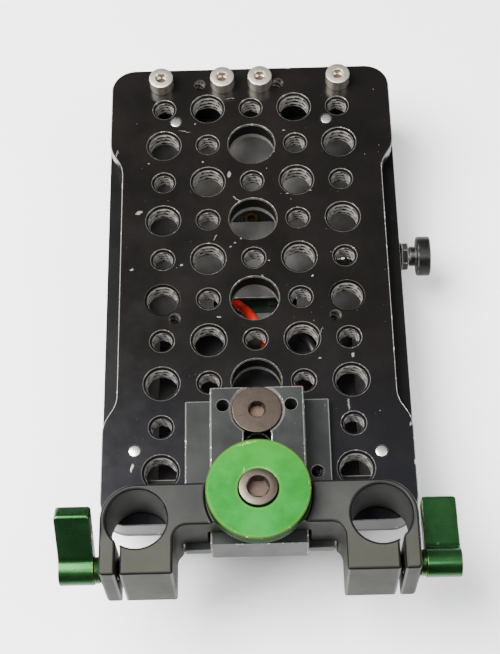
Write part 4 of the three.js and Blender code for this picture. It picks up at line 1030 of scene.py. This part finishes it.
# ---- Rod clamp ---------------------------------------------------
def clamp_casting():
    body = prism(rounded(CLAMP_HALF, *CLAMP_Y, 9, 1.2, 20), (CLAMP_Z[0], SEAT_TOP))
    notch = prism(rounded(NOTCH_HALF, -86, NOTCH_Y, 3.5, 0, 12), (20, 52))
    around_seat = carve(block((-40, 40), (-82, -56), (CLAMP_Z[1], 50)),
                        drill(0, LOCK_Y, SEAT_R, (46, 51), sides=96))
    carve(body, notch, around_seat)
    join(body, drill(0, LOCK_Y, BOSS_R, (WING_TOP, SEAT_TOP), sides=96))
    carve(body, block((-40, 40), (JAW_STEP_Y, -40), (20, PLATE_Z[1] + 0.3)),
          block((-WING_HALF - 0.35, WING_HALF + 0.35), (-90, -40), (20, WING_TOP + 0.3)),
          block((-TONGUE_HALF - 0.35, TONGUE_HALF + 0.35), (-90, -40), (20, RAIL_TOP + 0.35)))
    tools = [drill(0, LOCK_Y, 3.3, (20, 55))]
    for side in SIDES:
        tools.append(drill(side * ROD_X, ROD_Y, ROD_R, (20, 52), sides=96))
        tools.append(block(sorted(side * x for x in SLIT_X), (-86, SLIT_Y), (20, 52)))
    carve(body, *tools)
    cross = [drill(LEVER_Y, LEVER_Z, 2.8, sorted((side * 24, side * 41)), "x") for side in SIDES]
    soften(carve(body, *cross), 0.65, 3)
    piece(body, "rod_clamp_casting", ["rod_clamp_body"], clamp_grey, body="clamp")


def slot_nut():
    foot = block((-5.5, 5.5), (LOCK_Y - 4.5, LOCK_Y + 4.5), (30.3, 34.2))
    neck = block((-3.2, 3.2), (LOCK_Y - 3.2, LOCK_Y + 3.2), (32, 36))
    nut = carve(soften(join(foot, neck), 0.08), drill(0, LOCK_Y, 3.1, (29, 40)))
    piece(nut, "slot_nut", ["t_nut"], steel, body="clamp")


def lock_screw():
    crest = [(3 - 0.28 * (k % 2), 31.1 + 0.5 * k) for k in range(12)]
    profile = [(0, 30.8), (2.6, 30.8), *crest, (3, 37.2), (3, SEAT_TOP), (LOCK_HEAD_R, SEAT_TOP),
               (LOCK_HEAD_R, LOCK_HEAD_TOP), (0, LOCK_HEAD_TOP)]
    screw = lathe(profile, 96, (0, LOCK_Y, 0), soft=0.6, ridges=(LOCK_HEAD_R, 0.13))
    carve(screw, hexagon(0, LOCK_Y, 5, (LOCK_SOCKET_Z, 55)),
          cone(0, LOCK_Y, (2.5, LOCK_HEAD_TOP - 0.35), (3.05, LOCK_HEAD_TOP + 0.2), 48))
    piece(screw, "lock_screw_steel", ["lock_screw"], screw_steel, body="lock")
    dirt = lathe([(0, 0), (2.8, 0), (2.7, 0.25), (0, 0.3)], 6, (0, LOCK_Y, LOCK_SOCKET_Z), soft=0)
    piece(dirt, "lock_screw_dirt", [], socket_brown, body="lock")


def lock_knob():
    inner, (z0, z1) = LOCK_HEAD_R + 0.1, KNOB_Z
    wheel = lathe([(inner, z0), (KNOB_R, z0), (KNOB_R, z1), (inner, z1), (inner, z0)], 192, (0, LOCK_Y, 0),
                  soft=0.75, ridges=(KNOB_R, 0.2))
    piece(wheel, "lock_knob_wheel", ["lock_knob"], knob_green, body="lock")


# ---- Clamp levers ------------------------------------------------
def lever_profile():
    """The lever's side view about its hub: the hub's circle, a fillet and the arm."""
    r, reach, top, low, fillet = LEVER_HUB_R, LEVER_REACH, 0.9, -3.6, 1.9
    cx = math.sqrt((r + fillet) ** 2 - (top + fillet) ** 2)
    cy = top + fillet
    touch = math.degrees(math.atan2(cy, cx))
    loop = arc(0, 0, r, touch, 270, 40)
    loop += [(reach - 1.0, low)]
    loop += arc(reach - 1.0, low + 1.0, 1.0, -90, 0, 6)
    loop += arc(reach - 1.0, top - 1.0, 1.0, 0, 90, 6)
    return loop + arc(cx, cy, fillet, 270, 180 + touch, 8)


def lever(side, name, tilt):
    x0, x1 = sorted(side * x for x in LEVER_X)
    body = prism(lever_profile(), (x0, x1), "x")
    corner, end = 1.2, LEVER_REACH - 1.2
    plan = [(x0, -6), (x1, -6), *arc(x1 - corner, end, corner, 0, 90, 6),
            *arc(x0 + corner, end, corner, 90, 180, 6)]
    combine(body, [prism(plan, (-9, 9))], "INTERSECT")
    collar = drill(0, 0, COLLAR_R, sorted((side * COLLAR_X, side * 41.5)), "x", 64)
    bore = drill(0, 0, LEVER_SCREW_R + 0.1, sorted((side * 38, side * (LEVER_SCREW_X[1] + 0.1))), "x", 40)
    soften(carve(join(body, collar), bore), 0.3, 2)
    place = Matrix.Translation((0, LEVER_Y, LEVER_Z)) @ Matrix.Rotation(math.radians(tilt), 4, "X")
    body.data.transform(place)
    piece(body, f"lever_{name}_arm", [f"lever_{name}"], lever_green, body=f"{name}_lever")
    start, end = sorted(side * x for x in LEVER_SCREW_X)
    step = 0.4
    turns = int((end - start) / step) - 1
    crest = [(LEVER_SCREW_R - 0.22 * (k % 2), start + step + step * k) for k in range(turns)]
    screw = lathe([(0, start), *crest, (0, end)], 32, axis="x", soft=0)
    screw.data.transform(place)
    piece(screw, f"lever_{name}_thread", [f"lever_screw_{name}"], thread_steel, body=f"{name}_lever",
          weighted=False)


cheese_plate()
fasteners()
side_wall(-1)
side_wall(1)
end_caps()
battery_plate()
contact_block()
inner_floor()
wiring()
board()
outlets()
plunger()
catch()
return_spring()
slider_rail()
rail_bolt()
clamp_casting()
slot_nut()
lock_screw()
lock_knob()
lever(-1, "left", 59)
lever(1, "right", -4)


# ---- Stage, light and camera -------------------------------------
def stage():
    mesh = bpy.data.meshes.new("table")
    half, drop = 3.0, -0.0001
    mesh.from_pydata([(-half, -half, drop), (half, -half, drop), (half, half, drop), (-half, half, drop)], [],
                     [(0, 1, 2, 3)])
    table = placed("table", mesh)
    f = Finish("table_white")
    sheet = f.mix(f.band(f.noise(90.0, 3, 0.5), 0.3, 0.7), rgb("f7f8fa"), rgb("fbfbfb"))
    # The table turns dark grey nearer the camera: painted shade where less light falls, which also sends less
    # light back onto the front faces.
    painted_shade_from, white_from = -240.0, -100.0
    f.set("Base Color", f.mix(f.band(f.along(1), painted_shade_from, white_from), rgb("3a3a3c"), sheet))
    f.set("Roughness", 0.6)
    mesh.materials.append(f.material)


def area_light(name, at, target, size, power, colour=(1, 1, 1)):
    data = bpy.data.lights.new(name, "AREA")
    data.shape, data.size, data.energy, data.color = "DISK", size, power, colour
    ob = placed(name, data)
    ob.location = at
    ob.rotation_euler = (Vector(target) - Vector(at)).to_track_quat("-Z", "Y").to_euler()


def world():
    """A soft room: bright overhead, dim towards the horizon, darkest behind the camera."""
    room = bpy.data.worlds.new("room")
    bpy.context.scene.world = room
    room.use_nodes = True
    n = Nodes(room.node_tree)
    place = n.add("ShaderNodeTexCoord").outputs["Generated"]
    apart = n.add("ShaderNodeSeparateXYZ", {0: place}).outputs
    low = n.band(apart["Y"], -0.6, 0.6, (0.03, 0.22))
    high = n.band(apart["Z"], 0.86, 1.0, (0.36, 1.4))
    share = n.band(apart["Z"], 0.45, 0.84)
    background = n.tree.nodes["Background"].inputs
    n.feed(background["Color"], (0.97, 0.98, 1.0, 1.0))
    n.feed(background["Strength"], n.add("ShaderNodeMix", {"Factor": share, 2: low, 3: high}).outputs[0])


def camera():
    data = bpy.data.cameras.new("camera")
    data.lens, data.sensor_width, data.sensor_fit = 81.70, 36, "AUTO"
    data.clip_start, data.clip_end = 0.02, 20
    ob = placed("camera", data)
    right = Vector((0.999661, -0.017757, -0.019064))
    up = Vector((0.024494, 0.889875, 0.455543))
    back = Vector((0.008876, -0.455856, 0.890009))
    turn = Matrix((right, up, back)).transposed().to_4x4()
    ob.matrix_world = Matrix.Translation((2.14 * MM, -190.44 * MM, 389.64 * MM)) @ turn
    bpy.context.scene.camera = ob


stage()
world()
area_light("overhead", (-0.38, 0.0, 0.69), (0, 0, 0.02), 0.62, 28.0, (1.0, 0.99, 0.975))
area_light("fill", (0.46, -0.1, 0.5), (0, 0, 0.02), 0.5, 3.5)
area_light("front", (0.0, -0.3, 0.62), (0, 0, 0.02), 0.22, 1.8)
camera()
